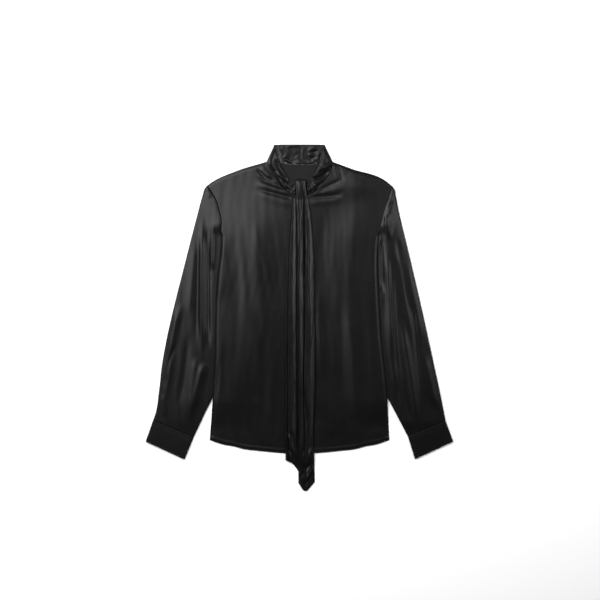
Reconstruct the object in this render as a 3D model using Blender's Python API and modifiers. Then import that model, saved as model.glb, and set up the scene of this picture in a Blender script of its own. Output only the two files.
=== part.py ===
"""Tie neck blouse in satin, laid flat on its back with its front up.

Sizes are in millimetres and become metres where a point is made. X runs across the blouse,
Y towards the collar and Z up from the surface it lies on. "Left" and "right" are as seen from
above, and "out" is the distance from the centre line to either side. Each piece of cloth is an
open surface with a thickness, and seams keep a small gap.
"""

from collections import namedtuple

import bmesh
import bpy
import numpy as np

MM = 0.001
LEFT, RIGHT = -1, 1
SIDE_NAMES = {LEFT: "left", RIGHT: "right"}

# Cloth and how it lies
CLOTH = 1.2
SEAM_GAP = 0.3
SIDE_GAP = 1.0  # in plan, between pieces whose edges are curves
FOLD_GAP = 0.15  # more, over a panel that slopes
AIR = 1.7  # under the front, between it and the back
EDGE_ROLL = 8.0  # width over which the front rounds down to the back
TUBE_HEIGHT = 4.4  # of a sleeve laid flat, outside
CUFF_HEIGHT = 5.0
LIFT = TUBE_HEIGHT + SEAM_GAP + FOLD_GAP  # of the body's sides, which lie over the sleeves
LIFT_MARGIN = 12.0  # further in than the sleeve reaches
LIFT_RAMP = 90.0  # over which the body comes down again
LIFT_TOP, LIFT_TOP_RUN = 330.0, 150.0  # the lift's upper end in y, and the length it grows over
LIFT_FOOT, LIFT_FOOT_RUN = -262.0, 72.0
ARMHOLE_Y, ARMHOLE_BLEND = 190.0, 25.0  # above it a sleeve lies beside the body
OVERLAP_EASE = 12.0  # over which the fronts sink where they lie on each other
TROUGH_SHARE = 0.75  # of the air, the most that a trough takes
HALF_OVERLAP = 12.0  # of the two fronts, either side of the centre line
# Shares of the body's height and of the back's width, closer where the sides rise
BODY_ROWS = (0, 0.012, 0.04, 0.092, 0.149, 0.2, 0.26, 0.32, 0.38, 0.44, 0.5, 0.56, 0.62, 0.68, 0.74,
             0.785, 0.826, 0.852, 0.876, 0.91, 0.945, 0.97, 0.99, 1)
BACK_SIDE = (0.006, 0.02, 0.05, 0.08, 0.115, 0.15, 0.19)
FRONT_SIDE = (0.012, 0.035)
TIE_BED = CLOTH + SEAM_GAP + AIR + CLOTH + SEAM_GAP + FOLD_GAP  # underside of the tie on the front

# Outlines. Columns: y, out. Rows run from the hem or cuff up to the shoulder.
BODY_EDGE = {
    LEFT: ((-287, 210.8), (-184, 203.3), (-29, 197.9), (61, 195.5), (108, 191.8), (156, 185.9),
           (204, 183.5), (232, 183.5), (251, 188.2), (275, 195.5), (296, 207.5), (310, 217.5)),
    RIGHT: ((-287, 211.0), (-184, 205.2), (-29, 190.6), (61, 185.5), (108, 183.5), (156, 183.5),
            (204, 188.0), (228, 193.0), (251, 198.5), (266, 202.6), (296, 212.0), (310, 216.5)),
}
SLEEVE_EDGE = {
    LEFT: ((-240, 343.1), (-232, 340.0), (-169, 329.0), (-118, 323.4), (-40, 309.5), (31, 293.0),
           (131, 267.9), (219, 245.8), (288, 227.5), (304, 222.4), (309.4, 218.4)),
    RIGHT: ((-242, 342.5), (-232, 340.5), (-169, 328.0), (-118, 317.0), (-40, 300.0), (21, 286.5),
            (164, 253.3), (247, 233.8), (288, 225.5), (304, 222.0), (309.4, 217.4)),
}
# How far a sleeve reaches in under the body's edge. Columns: y, width.
TUCK = ((-184, 0), (-120, 13), (-29, 31), (60, 45), (90, 45), (115, 38), (140, 25), (162, 12),
        (180, 3), (194, 0))
# Columns: out, y. Rows run from the neck to the armhole, or from the centre to the side.
SHOULDER = {
    LEFT: ((77.8, 366.4), (149.2, 344.3), (207.0, 317.6), (217.5, 310.0)),
    RIGHT: ((79.0, 366.0), (122.9, 349.9), (207.0, 318.0), (216.5, 310.0)),
}
HEM = ((0, -318.0), (34, -317.5), (101, -311.4), (130, -308.0), (157, -301.0), (177, -297.5),
       (212, -286.0))
# Neckline of the fronts, below the collar. Columns: out, y.
NECKLINE = {
    LEFT: ((0, 288.5), (19, 291.0), (33, 301.5), (48.2, 313.3), (63.2, 335.6), (72.0, 352.0),
           (77.8, 366.4)),
    RIGHT: ((0, 288.5), (20.7, 288.6), (42.1, 299.5), (52.2, 312.5), (66.0, 330.0), (75.0, 346.0),
            (79.0, 366.0)),
}
BACK_NECK = ((0, 360.0), (40, 361.4), (80, 366.5))
NECK_OUT = 78.0  # where the neck ends and the shoulder starts

# Sleeves. The armhole runs from the shoulder to the underarm, which lies under the body.
UNDERARM_Y = 85.0
CROTCH_Y = -184.0  # where the sleeve's inner edge comes out from under the body
CUFF_TOP = {LEFT: ((343.1, -240.2), (249.1, -280.1)), RIGHT: ((342.5, -242.0), (255.0, -278.5))}
CUFF_END = {LEFT: ((360.7, -290.5), (270.3, -331.8)), RIGHT: ((360.3, -290.2), (271.4, -331.1))}

CAP_SHARE, CAP_START = 0.12, 0.35  # closer rings over the shoulder, and how much closer
SLEEVE_TROUGH = -1.2
# A tube laid flat: points across its top and its underside, and angles round its two edges
TUBE_TOP, TUBE_UNDER, TUBE_ROUND = 13, 7, (60, 20, -20, -60)

# Collar. Columns: x, y, along each line from the side fold to the crossing.
COLLAR_TOP_Y = 406.8
COLLAR_TOP_OUT = 59.0
COLLAR_FOOT_OUT = 77.5
COLLAR_SEAM = {
    LEFT: ((-77.0, 366.6), (-71.2, 352.4), (-62.4, 336.0), (-47.4, 314.1), (-33.0, 302.6)),
    RIGHT: ((78.2, 366.2), (74.2, 346.2), (65.3, 330.6), (51.4, 313.4), (42.6, 300.9)),
}
COLLAR_EDGE = {
    LEFT: ((-58.6, 406.0), (-51.9, 377.9), (-44.0, 357.0), (-34.5, 339.5), (-24.7, 326.2)),
    RIGHT: ((58.6, 406.0), (49.5, 377.0), (45.0, 361.0), (39.5, 346.0), (31.0, 334.5)),
}
COLLAR_LOW, COLLAR_HIGH = 1.5, 7.4  # underside at the side fold and at the upper edge
COLLAR_FOLD = 0.22  # share of its length in which it opens from the side fold
COLLAR_CREST = 0.8  # share of its height at which it stands highest
COLLAR_PLEATS = {LEFT: 3.5, RIGHT: 2.5}
PLEAT_SWIRL = 0.25
PLEAT_DEPTH = {LEFT: 1.5, RIGHT: 1.7}
PLEAT_TROUGH = -1.0

# Crossing of the tie, between the two front parts of the collar. Columns: x, y.
KNOT_FOOT = ((-31.6, 302.4), (-19, 293.2), (0, 290.0), (20.7, 290.2), (41.4, 301.0))
KNOT_HEAD = ((-24.0, 324.6), (-12, 317.0), (2, 315.5), (16, 318.0), (30.2, 332.6))
KNOT_RIDGES = ((0.05, 7.2), (0.18, 4.6), (0.34, 8.6), (0.55, 8.8), (0.66, 6.2), (0.74, 8.6),
               (0.81, 6.0), (0.89, 8.4), (1.0, 7.0))  # share across, underside
KNOT_FOOT_DIP, KNOT_HEAD_DIP = (3.0, 0.35), (2.0, 0.3)  # depth, and share of the height

# Tie ends. Each line runs down the cloth; a crest is high and a valley is low.
# Columns: x at the stations, then height over the bed at the stations.
FoldLine = namedtuple("FoldLine", "x height")
OVER_STATIONS = (277, 194, 70, -29, -167, -275, -345, -385)
OVER_FOLDS = (
    FoldLine((-8.5, -5.4, -3.2, -2.2, -2.0, -2.2, -2.4, -2.6),
             (5.0, 2.8, 2.4, 2.2, 2.2, 2.2, 2.0, 1.0)),
    FoldLine((-4.0, -1.4, 0.6, 1.6, 1.6, 1.4, 1.0, 0.8),
             (7.6, 5.2, 4.8, 4.8, 4.6, 4.6, 3.6, 2.0)),
    FoldLine((1.5, 2.0, 3.4, 4.6, 4.6, 5.0, 4.6, 4.4),
             (7.0, 4.4, 4.0, 4.0, 3.6, 3.6, 2.4, 1.2)),
    FoldLine((6.5, 6.6, 7.6, 8.6, 7.2, 8.4, 8.6, 8.6),
             (8.0, 5.6, 5.0, 5.0, 4.4, 4.2, 3.4, 2.0)),
    FoldLine((11.2, 11.6, 12.4, 13.0, 9.8, 13.4, 13.4, 13.0),
             (3.0, 0.2, 0.0, 0.0, 0.0, 0.0, 0.0, 0.0)),
    FoldLine((14.4, 18.0, 19.4, 19.6, 17.5, 20.0, 19.0, 18.0),
             (7.4, 5.4, 4.8, 4.4, 3.6, 1.6, 3.0, 2.0)),
    FoldLine((16.8, 22.5, 25.4, 28.4, 27.0, 25.0, 24.0, 22.5),
             (5.6, 3.4, 2.2, 1.0, 1.2, 0.6, 0.6, 0.4)),
    FoldLine((19.4, 27.6, 31.6, 33.4, 33.6, 29.8, 29.6, 29.0),
             (7.4, 5.6, 4.8, 4.6, 4.4, 4.4, 3.2, 2.0)),
    FoldLine((21.6, 31.6, 35.8, 37.4, 37.8, 33.4, 35.2, 36.0),
             (4.4, 2.0, 0.6, 0.4, 0.4, 0.4, 0.4, 0.2)),
)
UNDER_STATIONS = (283, 240, 194, 70, -29, -167, -318, -334)
UNDER_FOLDS = (
    FoldLine((-17.8, -22.4, -26.8, -30.6, -32.2, -32.7, -32.9, -32.9),
             (0.0, 0.0, 0.2, 0.2, 0.2, 0.2, 0.2, 0.2)),
    FoldLine((-16.4, -20.4, -24.0, -27.6, -29.2, -29.4, -29.6, -29.6),
             (2.2, 3.2, 3.8, 4.2, 4.2, 4.2, 4.0, 3.0)),
    FoldLine((-15.0, -17.8, -20.4, -23.6, -25.0, -24.6, -24.4, -24.4),
             (1.0, 1.0, 1.0, 0.8, 0.8, 0.8, 0.8, 0.6)),
    FoldLine((-13.2, -15.0, -16.6, -18.8, -19.6, -19.4, -19.4, -19.4),
             (2.4, 3.6, 4.0, 4.4, 4.4, 4.4, 4.2, 3.0)),
    FoldLine((-11.6, -12.4, -13.0, -14.4, -15.0, -15.0, -15.2, -15.4),
             (1.2, 1.4, 1.6, 1.8, 1.8, 2.0, 2.2, 1.6)),
    FoldLine((-9.6, -9.4, -9.2, -9.6, -9.8, -10.0, -10.4, -11.4),
             (1.8, 2.6, 3.0, 3.4, 3.6, 3.6, 3.4, 2.0)),
    FoldLine((-8.4, -7.2, -6.0, -5.2, -4.6, -4.6, -1.8, -1.8),
             (0.0, 0.0, 0.0, 0.0, 0.0, 0.0, 0.0, 0.0)),
)
# How the upper end rolls out of the neck over the crossing. Columns: y, underside.
NECK_ROLL = ((319.0, 4.2), (322.6, 4.6), (325.0, 7.0), (325.0, 10.0), (322.0, 12.0), (316.0, 12.6),
             (306.0, 12.6), (294.0, 11.8), (277.0, 9.6))
ROLL_EDGES = ((-8.0, 11.0), (-9.0, 12.6), (-9.4, 13.4), (-9.4, 13.6), (-9.4, 13.6), (-9.2, 14.0),
              (-9.0, 15.2), (-8.8, 17.6), (-8.5, 21.6))  # x of its two sides on the same rows
ROLL_FLAT, ROLL_PLEAT, ROLL_LEAST = 3.0, 0.55, 0.25  # how the pleats fade out up the roll
ROLL_ROWS = (2, 3)  # the pleats start after this row, and are full this many rows on
# Ends of the tie. Columns: x, y.
OVER_TIP = ((-2.6, -388.0), (10.6, -406.1), (36.0, -385.4))
UNDER_TIP = ((-32.9, -333.5), (-12.7, -345.9), (-1.8, -362.0))
OVER_ROWS = (255, 226, 194, 150, 105, 60, 15, -30, -75, -120, -167, -205, -240, -275, -305, -330, -350)
UNDER_ROWS = (283, 268, 240, 215, 180, 140, 95, 50, 0, -55, -110, -165, -220, -275, -319)
DROP_FROM, DROP_OVER = -321.0, 32.0  # the tie ends come down past the hem

# The largest folds. Each is a soft ridge, or a trough where its height is negative.
Crease = namedtuple("Crease", "start bend end width height")
FRONT_CREASES = (
    Crease((-180, 190), (-182, 110), (-184, 30), 10, 1.4),
    Crease((-148, 150), (-146, -20), (-150, -190), 16, -1.0),
    Crease((-104, 222), (-98, 108), (-76, -12), 13, 1.8),
    Crease((-101, -30), (-99, -110), (-101, -230), 12, 1.4),
    Crease((-102, -195), (-80, -214), (-57, -238), 9, 1.0),
    Crease((-76, 317), (-60, 309), (-40, 302), 5, -1.2),
    Crease((-80, 306), (-58, 300), (-30, 291), 6, 2.4),
    Crease((-60, 291), (-44, 287), (-26, 283), 5, -1.2),
    Crease((-70, 281), (-48, 277), (-26, 271), 8, 1.6),
    Crease((111, 42), (124, -100), (136, -238), 13, 1.8),
    Crease((97, 60), (98, -80), (104, -220), 14, -1.0),
    Crease((46, 60), (48, -20), (52, -120), 8, 1.4),
    Crease((74, 285), (56, 285), (40, 284), 5, -1.2),
    Crease((84, 297), (62, 293), (42, 292), 6, 2.2),
    Crease((60, 276), (50, 277), (41, 277), 6, 1.4),
    Crease((168, 180), (166, 20), (172, -160), 14, 1.2),
)
SLEEVE_CREASES = {
    LEFT: (
        Crease((-229, 240), (-230, 70), (-229, -95), 7, 3.2),
        Crease((-236, -95), (-243, -165), (-264, -245), 14, 2.4),
        Crease((-275, 40), (-300, -60), (-316, -215), 10, 2.4),
        Crease((-283, -40), (-300, -105), (-304, -180), 7, -1.0),
        Crease((-207, 250), (-206, 200), (-208, 110), 7, 2.2),
    ),
    RIGHT: (
        Crease((206, 262), (209, 225), (207, 175), 11, 3.0),
        Crease((226, 205), (242, 105), (262, -35), 9, -1.0),
        Crease((212, 120), (224, 0), (243, -185), 10, 2.2),
        Crease((236, 60), (256, -110), (279, -245), 10, 2.4),
        Crease((266, 60), (276, -80), (290, -215), 9, -1.0),
        Crease((286, 40), (306, -80), (318, -200), 10, 1.8),
    ),
}
# Lumps on the inside of the back collar. Columns: x, y, half width, half height, rise.
LUMPS_OUT = 46.0  # they end here, under the front collar
COLLAR_LUMPS = ((35, 384, 11, 8, 2.6), (27, 368, 8, 5, 1.8), (-28, 366, 9, 5, 2.4), (-8, 399, 26, 4, 1.2))

SATIN = {"colour": (0.014, 0.013, 0.014), "roughness": 0.32}
SATIN_PRESSED = {"colour": (0.011, 0.0105, 0.011), "roughness": 0.45}
SATIN_REVERSE = {"colour": (0.024, 0.022, 0.023), "roughness": 0.75}


def ease(share):
    """0 below 0, 1 above 1, and an S between."""
    share = np.clip(share, 0, 1)
    return share * share * (3 - 2 * share)


def through(table, place):
    """Value at a place on the smooth curve through a table of (place, value) rows."""
    places, values = np.array(sorted(table), float).T
    slopes = np.gradient(values, places)
    i = np.clip(np.searchsorted(places, place) - 1, 0, len(places) - 2)
    step = places[i + 1] - places[i]
    t = np.clip((place - places[i]) / step, 0, 1)
    rise = values[i + 1] - values[i]
    start, end = slopes[i] * step, slopes[i + 1] * step
    return values[i] + t * (start + t * (3 * rise - 2 * start - end + t * (start + end - 2 * rise)))


def along(points, share):
    """Point at a share of the length of the smooth curve through the points."""
    points = np.array(points, float)
    lengths = np.r_[0, np.cumsum(np.linalg.norm(np.diff(points, axis=0), axis=1))]
    lengths /= lengths[-1]
    return np.array([through(tuple(zip(lengths, column)), share) for column in points.T])


def side_of(x):
    return LEFT if x < 0 else RIGHT


def edge_x(side, y):
    """x of the body's side."""
    return side * through(BODY_EDGE[side], y)


def tucked_x(side, y):
    """The sleeve's inner edge where it lies under the body, or beside the armhole."""
    beside = SIDE_GAP * ease((y - ARMHOLE_Y) / 12)
    return side * (through(BODY_EDGE[side], y) - through(TUCK, y) + beside)


def body_lift(x, y):
    """How far the body rises over the sleeves tucked under its sides."""
    inwards = abs(edge_x(side_of(x), y)) - abs(x)
    reach = through(TUCK, y) + LIFT_MARGIN
    window = ease((LIFT_TOP - y) / LIFT_TOP_RUN) * ease((y - LIFT_FOOT) / LIFT_FOOT_RUN)
    return LIFT * window * (1 - ease((inwards - reach) / LIFT_RAMP))


def crease_height(creases, x, y):
    """Height that the folds add at a point."""
    total = 0.0
    last = 12
    steps = np.linspace(0, 1, last + 1)[:, None]
    for crease in creases:
        start, bend, end = (np.array(p, float) for p in (crease.start, crease.bend, crease.end))
        control = 2 * bend - (start + end) / 2
        line = (1 - steps) ** 2 * start + 2 * steps * (1 - steps) * control + steps**2 * end
        away = np.hypot(line[:, 0] - x, line[:, 1] - y)
        nearest = int(away.argmin())
        fade = ease(4.0 * min(nearest, last - nearest) / last)
        run = line[min(nearest + 1, last)] - line[max(nearest - 1, 0)]
        run /= np.hypot(*run)
        across = abs(run[0] * (y - line[nearest, 1]) - run[1] * (x - line[nearest, 0]))
        half_step = np.hypot(*(end - start)) / (2 * last)
        beyond = max(0.0, np.sqrt(max(away[nearest] ** 2 - across**2, 0)) - half_step)
        total += crease.height * fade * np.exp(-(across**2 + beyond**2) / crease.width**2)
    return total


def edge_share(x, y):
    """0 on the side, hem and shoulder of the body, rising to 1 a little way in."""
    inwards = abs(edge_x(side_of(x), y)) - abs(x)
    inwards += 2 * EDGE_ROLL * ease((y - ARMHOLE_Y) / ARMHOLE_BLEND)
    from_hem = y - through(HEM, abs(x))
    from_shoulder = EDGE_ROLL if abs(x) < NECK_OUT else through(SHOULDER[side_of(x)], abs(x)) - y
    return ease(min(inwards, from_hem, from_shoulder) / EDGE_ROLL)


def front_underside(x, y, side):
    """Height of a front's underside: over the back, with air under it and its folds."""
    share = edge_share(x, y)
    air = AIR * share
    if side == RIGHT:
        air *= ease((x - HALF_OVERLAP) / OVERLAP_EASE)
    else:
        air = max(air, AIR * ease((x + HALF_OVERLAP + OVERLAP_EASE) / OVERLAP_EASE))
    folds = max(crease_height(FRONT_CREASES, x, y) * share, -TROUGH_SHARE * air)
    return body_lift(x, y) + CLOTH + SEAM_GAP + FOLD_GAP + air + folds


def patch(bottom, top, left, right):
    """A function of (u, v) that fills the space between four boundary curves."""

    def place(u, v):
        low_left, low_right = np.array(bottom(0)), np.array(bottom(1))
        high_left, high_right = np.array(top(0)), np.array(top(1))
        between = (1 - v) * np.array(bottom(u)) + v * np.array(top(u))
        across = (1 - u) * np.array(left(v)) + u * np.array(right(v))
        corners = (1 - v) * ((1 - u) * low_left + u * low_right)
        corners = corners + v * ((1 - u) * high_left + u * high_right)
        return between + across - corners

    return place


def shares(count, first=(), last=()):
    """Even shares from 0 to 1, with closer ones beside the ends."""
    low = first[-1] if first else 0.0
    high = last[0] if last else 1.0
    return (*((0.0, *first) if first else (0.0,)), *np.linspace(low, high, count + 1)[1:-1],
            *((*last, 1.0) if last else (1.0,)))


def material(name, look):
    """A plain material of the cloth's colour."""
    made = bpy.data.materials.new(name)
    made.use_nodes = True
    shader = made.node_tree.nodes["Principled BSDF"]
    shader.inputs["Base Color"].default_value = (*look["colour"], 1)
    shader.inputs["Roughness"].default_value = look["roughness"]
    shader.inputs["Metallic"].default_value = 0.0
    return made


def add_piece(name, mesh, look, outwards):
    """The object of one piece: an open surface thickened to the cloth's wall."""
    for polygon in mesh.polygons:
        polygon.use_smooth = True
    mesh.materials.append(material(name, look))
    piece = bpy.data.objects.new(name, mesh)
    bpy.data.collections["tie_neck_blouse"].objects.link(piece)
    wall = piece.modifiers.new("cloth", "SOLIDIFY")
    wall.thickness = CLOTH * MM
    wall.offset = 1 if outwards else -1
    wall.use_even_offset = True
    return piece


def add_sheet(name, columns, rows, place, look=SATIN):
    """A grid laid by place(u, v), which gives the underside's point, and thickened upwards."""
    bm = bmesh.new()
    bmesh.ops.create_grid(bm, x_segments=len(columns) - 1, y_segments=len(rows) - 1, size=1)
    for vertex in bm.verts:
        column = round((vertex.co.x + 1) / 2 * (len(columns) - 1))
        row = round((vertex.co.y + 1) / 2 * (len(rows) - 1))
        vertex.co = np.array(place(columns[column], rows[row])) * MM
    mesh = bpy.data.meshes.new(name)
    bm.to_mesh(mesh)
    bm.free()
    return add_piece(name, mesh, look, outwards=True)


def add_tube(name, rings, look=SATIN):
    """A loft through rings of points, open at both ends, and thickened inwards."""
    count = len(rings[0])
    points = [tuple(np.array(point) * MM) for ring in rings for point in ring]
    faces = []
    for ring in range(len(rings) - 1):
        for i in range(count):
            near, beside = ring * count + i, ring * count + (i + 1) % count
            faces.append((near, beside, beside + count, near + count))
    mesh = bpy.data.meshes.new(name)
    mesh.from_pydata(points, [], faces)
    bm = bmesh.new()
    bm.from_mesh(mesh)
    bmesh.ops.recalc_face_normals(bm, faces=bm.faces)
    bm.to_mesh(mesh)
    bm.free()
    return add_piece(name, mesh, look, outwards=False)


def body_side(side):
    """The body's side as a curve of shares up it."""
    low, high = BODY_EDGE[side][0][0], BODY_EDGE[side][-1][0]

    def point(v):
        y = low + v * (high - low)
        return edge_x(side, y), y

    return point


def make_back():
    hem_left, hem_right = BODY_EDGE[LEFT][0][1], BODY_EDGE[RIGHT][0][1]
    top_left, top_right = BODY_EDGE[LEFT][-1][1], BODY_EDGE[RIGHT][-1][1]

    def hem(u):
        x = -hem_left + u * (hem_left + hem_right)
        return x, through(HEM, abs(x))

    def top(u):
        x = -top_left + u * (top_left + top_right)
        return x, through(BACK_NECK if abs(x) < NECK_OUT else SHOULDER[side_of(x)], abs(x))

    flat = patch(hem, top, body_side(LEFT), body_side(RIGHT))

    def place(u, v):
        x, y = flat(u, v)
        return x, y, body_lift(x, y)

    columns = shares(8, BACK_SIDE, tuple(1 - share for share in reversed(BACK_SIDE)))
    add_sheet("back", columns, BODY_ROWS, place, SATIN_REVERSE)


def make_front(side):
    inner = -side * HALF_OVERLAP
    hem_end, top_end = side * BODY_EDGE[side][0][1], side * BODY_EDGE[side][-1][1]

    def hem(u):
        x = hem_end + u * (inner - hem_end)
        return x, through(HEM, abs(x))

    def top(u):
        x = top_end + u * (inner - top_end)
        out = side * x
        if out > NECKLINE[side][-1][0]:
            return x, through(SHOULDER[side], out)
        return x, through(NECKLINE[side], max(out, 0.0))

    def centre(v):
        return inner, hem(1)[1] + v * (top(1)[1] - hem(1)[1])

    flat = patch(hem, top, body_side(side), centre)

    def place(u, v):
        x, y = flat(u if side == LEFT else 1 - u, v)
        return x, y, front_underside(x, y, side)

    columns = shares(16, FRONT_SIDE)
    if side == RIGHT:
        columns = tuple(1 - share for share in reversed(columns))
    add_sheet("front_" + SIDE_NAMES[side], columns, BODY_ROWS, place)


def tube_ring(path, width, height, field):
    """One ring of a tube laid flat: its underside on the ground, its top with folds."""
    half = height / 2
    margin = half / width
    points = []
    for share in np.linspace(margin, 1 - margin, TUBE_TOP):
        x, y = path(share)
        points.append((x, y, height + field(x, y)))
    for angle in np.radians(TUBE_ROUND):
        x, y = path(1 - margin + margin * np.cos(angle))
        points.append((x, y, half + half * np.sin(angle)))
    for share in np.linspace(1 - margin, margin, TUBE_UNDER):
        x, y = path(share)
        points.append((x, y, 0.0))
    for angle in np.radians(TUBE_ROUND[::-1]):
        x, y = path(margin - margin * np.cos(angle))
        points.append((x, y, half + half * np.sin(angle)))
    return points


def sleeve_edges(side, share):
    """The outer and the inner point of the sleeve at a share of its length."""
    cuff_outer, cuff_inner = CUFF_TOP[side]
    table = SLEEVE_EDGE[side]
    y = table[-1][0] + closer_at_cap(share) * (cuff_outer[1] - table[-1][0])
    outer = (side * through(table, y), y)
    under = (UNDERARM_Y - CROTCH_Y) / (UNDERARM_Y - cuff_inner[1])
    if share < under:
        inner_y = UNDERARM_Y + share / under * (CROTCH_Y - UNDERARM_Y)
        return outer, (tucked_x(side, inner_y), inner_y)
    rest = (share - under) / (1 - under)
    start = np.array((tucked_x(side, CROTCH_Y), CROTCH_Y))
    end = np.array((side * cuff_inner[0], cuff_inner[1]))
    return outer, tuple(start + rest * (end - start))


def closer_at_cap(share):
    """Closer steps over the shoulder's round corner, even ones after it."""
    return share * min(1.0, CAP_START + (1 - CAP_START) * share / CAP_SHARE)


def armhole_bulge(side, share, outer, inner):
    """From the straight line between the two ends, the way to the armhole's own curve."""
    y = outer[1] + share * (inner[1] - outer[1])
    return tucked_x(side, y) - (outer[0] + share * (inner[0] - outer[0]))


def make_sleeve(side):
    first_outer, first_inner = sleeve_edges(side, 0.0)

    def field(x, y):
        clear = ease((abs(x) - abs(edge_x(side, max(y, CROTCH_Y))) - 2) / 10)
        if y < CROTCH_Y:
            clear = max(clear, ease((CROTCH_Y - y) / 30))
        outer_roll = ease((through(SLEEVE_EDGE[side], y) - abs(x)) / 8)
        return max(crease_height(SLEEVE_CREASES[side], x, y) * clear * outer_roll, SLEEVE_TROUGH)

    rings = []
    for share in (0.0, 0.02, 0.05, 0.09, *np.linspace(0.14, 1.0, 12)):
        outer, inner = sleeve_edges(side, share)
        fade = (1 - min(1.0, share / 0.5)) ** 2

        def path(across, outer=outer, inner=inner, fade=fade):
            bulge = armhole_bulge(side, across, first_outer, first_inner)
            x = outer[0] + across * (inner[0] - outer[0]) + fade * bulge
            return x, outer[1] + across * (inner[1] - outer[1])

        width = np.hypot(outer[0] - inner[0], outer[1] - inner[1])
        rings.append(tube_ring(path, width, TUBE_HEIGHT, field))
    add_tube("sleeve_" + SIDE_NAMES[side], rings)


def make_cuff(side):
    rings = []
    for share in np.linspace(0, 1, 4):
        ends = []
        for top, end in zip(np.array(CUFF_TOP[side]), np.array(CUFF_END[side])):
            top = top + SEAM_GAP * (end - top) / np.hypot(*(end - top))
            ends.append((top + share * (end - top)) * (side, 1))
        outer, inner = ends

        def path(across, outer=outer, inner=inner):
            return outer + across * (inner - outer)

        rings.append(tube_ring(path, np.hypot(*(outer - inner)), CUFF_HEIGHT, lambda x, y: 0.0))
    add_tube("cuff_" + SIDE_NAMES[side], rings, SATIN_PRESSED)


def make_collar_back():
    def foot(u):
        x = (2 * u - 1) * COLLAR_FOOT_OUT
        return x, through(BACK_NECK, abs(x)) + SIDE_GAP

    def top(u):
        return (2 * u - 1) * COLLAR_TOP_OUT, COLLAR_TOP_Y

    def side_line(side):
        low = np.array((side * COLLAR_FOOT_OUT, through(BACK_NECK, COLLAR_FOOT_OUT) + SIDE_GAP))
        high = np.array((side * COLLAR_TOP_OUT, COLLAR_TOP_Y))
        return lambda v: low + v * (high - low)

    flat = patch(foot, top, side_line(LEFT), side_line(RIGHT))

    def place(u, v):
        x, y = flat(u, v)
        rise = 0.0
        for lump_x, lump_y, wide, deep, high in COLLAR_LUMPS:
            rise += high * np.exp(-(((x - lump_x) / wide) ** 2) - ((y - lump_y) / deep) ** 2)
        return x, y, rise * ease((LUMPS_OUT - abs(x)) / 10)

    add_sheet("collar_back", shares(18), shares(7), place)


def make_collar_front(side):
    def place(u, v):
        along_it = u if side == LEFT else 1 - u
        seam, edge = along(COLLAR_SEAM[side], along_it), along(COLLAR_EDGE[side], along_it)
        x, y = seam + v * (edge - seam)
        opened = ease(along_it / COLLAR_FOLD)
        at_seam = CLOTH + SEAM_GAP + AIR * opened
        high = COLLAR_LOW + (COLLAR_HIGH - COLLAR_LOW) * opened
        swirl = COLLAR_PLEATS[side] * (v + PLEAT_SWIRL * along_it)
        pleats = PLEAT_DEPTH[side] * np.sin(2 * np.pi * swirl) * opened * ease(v / 0.12)
        return x, y, at_seam + (high - at_seam) * ease(v / COLLAR_CREST) + max(pleats, PLEAT_TROUGH)

    columns = shares(10, (0.05,))
    add_sheet("collar_front_" + SIDE_NAMES[side], columns, shares(14), place)


def make_knot():
    def place(u, v):
        foot, head = along(KNOT_FOOT, u), along(KNOT_HEAD, u)
        x, y = foot + v * (head - foot)
        crown = through(KNOT_RIDGES, u)
        for (depth, share), place_up in ((KNOT_FOOT_DIP, v), (KNOT_HEAD_DIP, 1 - v)):
            crown -= depth * (1 - ease(place_up / share))
        return x, y, max(crown, CLOTH + SEAM_GAP)

    add_sheet("tie_knot", shares(22), shares(7), place)


def fold_grid(stations, folds, u, y):
    """x and height over the bed, across a tie end at u and down it at y."""
    lines = len(folds) - 1
    i = min(int(u * lines), lines - 1)
    t = u * lines - i
    row = [tuple(zip(stations, values)) for fold in folds[i : i + 2] for values in fold]
    x0, h0, x1, h1 = (through(table, y) for table in row)
    return x0 + t * (x1 - x0), h0 + ease(t) * (h1 - h0)


def bed_height(y):
    """Under the tie ends: the front, and past the hem the surface below."""
    return TIE_BED * (1 - ease((DROP_FROM - y) / DROP_OVER))


def roll_point(u, row):
    """A point of the tie's upper end, where it rolls out of the neck."""
    y, under = NECK_ROLL[row]
    low, high = ROLL_EDGES[row]
    start, end = (fold_grid(OVER_STATIONS, OVER_FOLDS, side, OVER_STATIONS[0])[0] for side in (0, 1))
    x, height = fold_grid(OVER_STATIONS, OVER_FOLDS, u, OVER_STATIONS[0])
    first, grows = ROLL_ROWS
    strength = ROLL_LEAST + (1 - ROLL_LEAST) * row / (len(NECK_ROLL) - 1)
    lean = (height - ROLL_FLAT) * strength * ease((row - first) / grows)
    across = (x - start) / (end - start)
    return low + across * (high - low), y, under + ROLL_PLEAT * max(lean, 0.0)


def make_tie_over():
    tip_shares = (0.5, 1.0)

    def lower_y(u, row):
        if row < len(OVER_ROWS):
            return OVER_ROWS[row]
        tip = through(OVER_TIP, fold_grid(OVER_STATIONS, OVER_FOLDS, u, OVER_STATIONS[-1])[0])
        return OVER_ROWS[-1] + tip_shares[row - len(OVER_ROWS)] * (tip - OVER_ROWS[-1])

    def place(u, row):
        if row < len(NECK_ROLL):
            return roll_point(u, row)
        y = lower_y(u, row - len(NECK_ROLL))
        x, height = fold_grid(OVER_STATIONS, OVER_FOLDS, u, y)
        return x, y, bed_height(y) + height

    count = len(NECK_ROLL) + len(OVER_ROWS) + len(tip_shares)
    add_sheet("tie_end_over", shares(16), range(count - 1, -1, -1), place)


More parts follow.
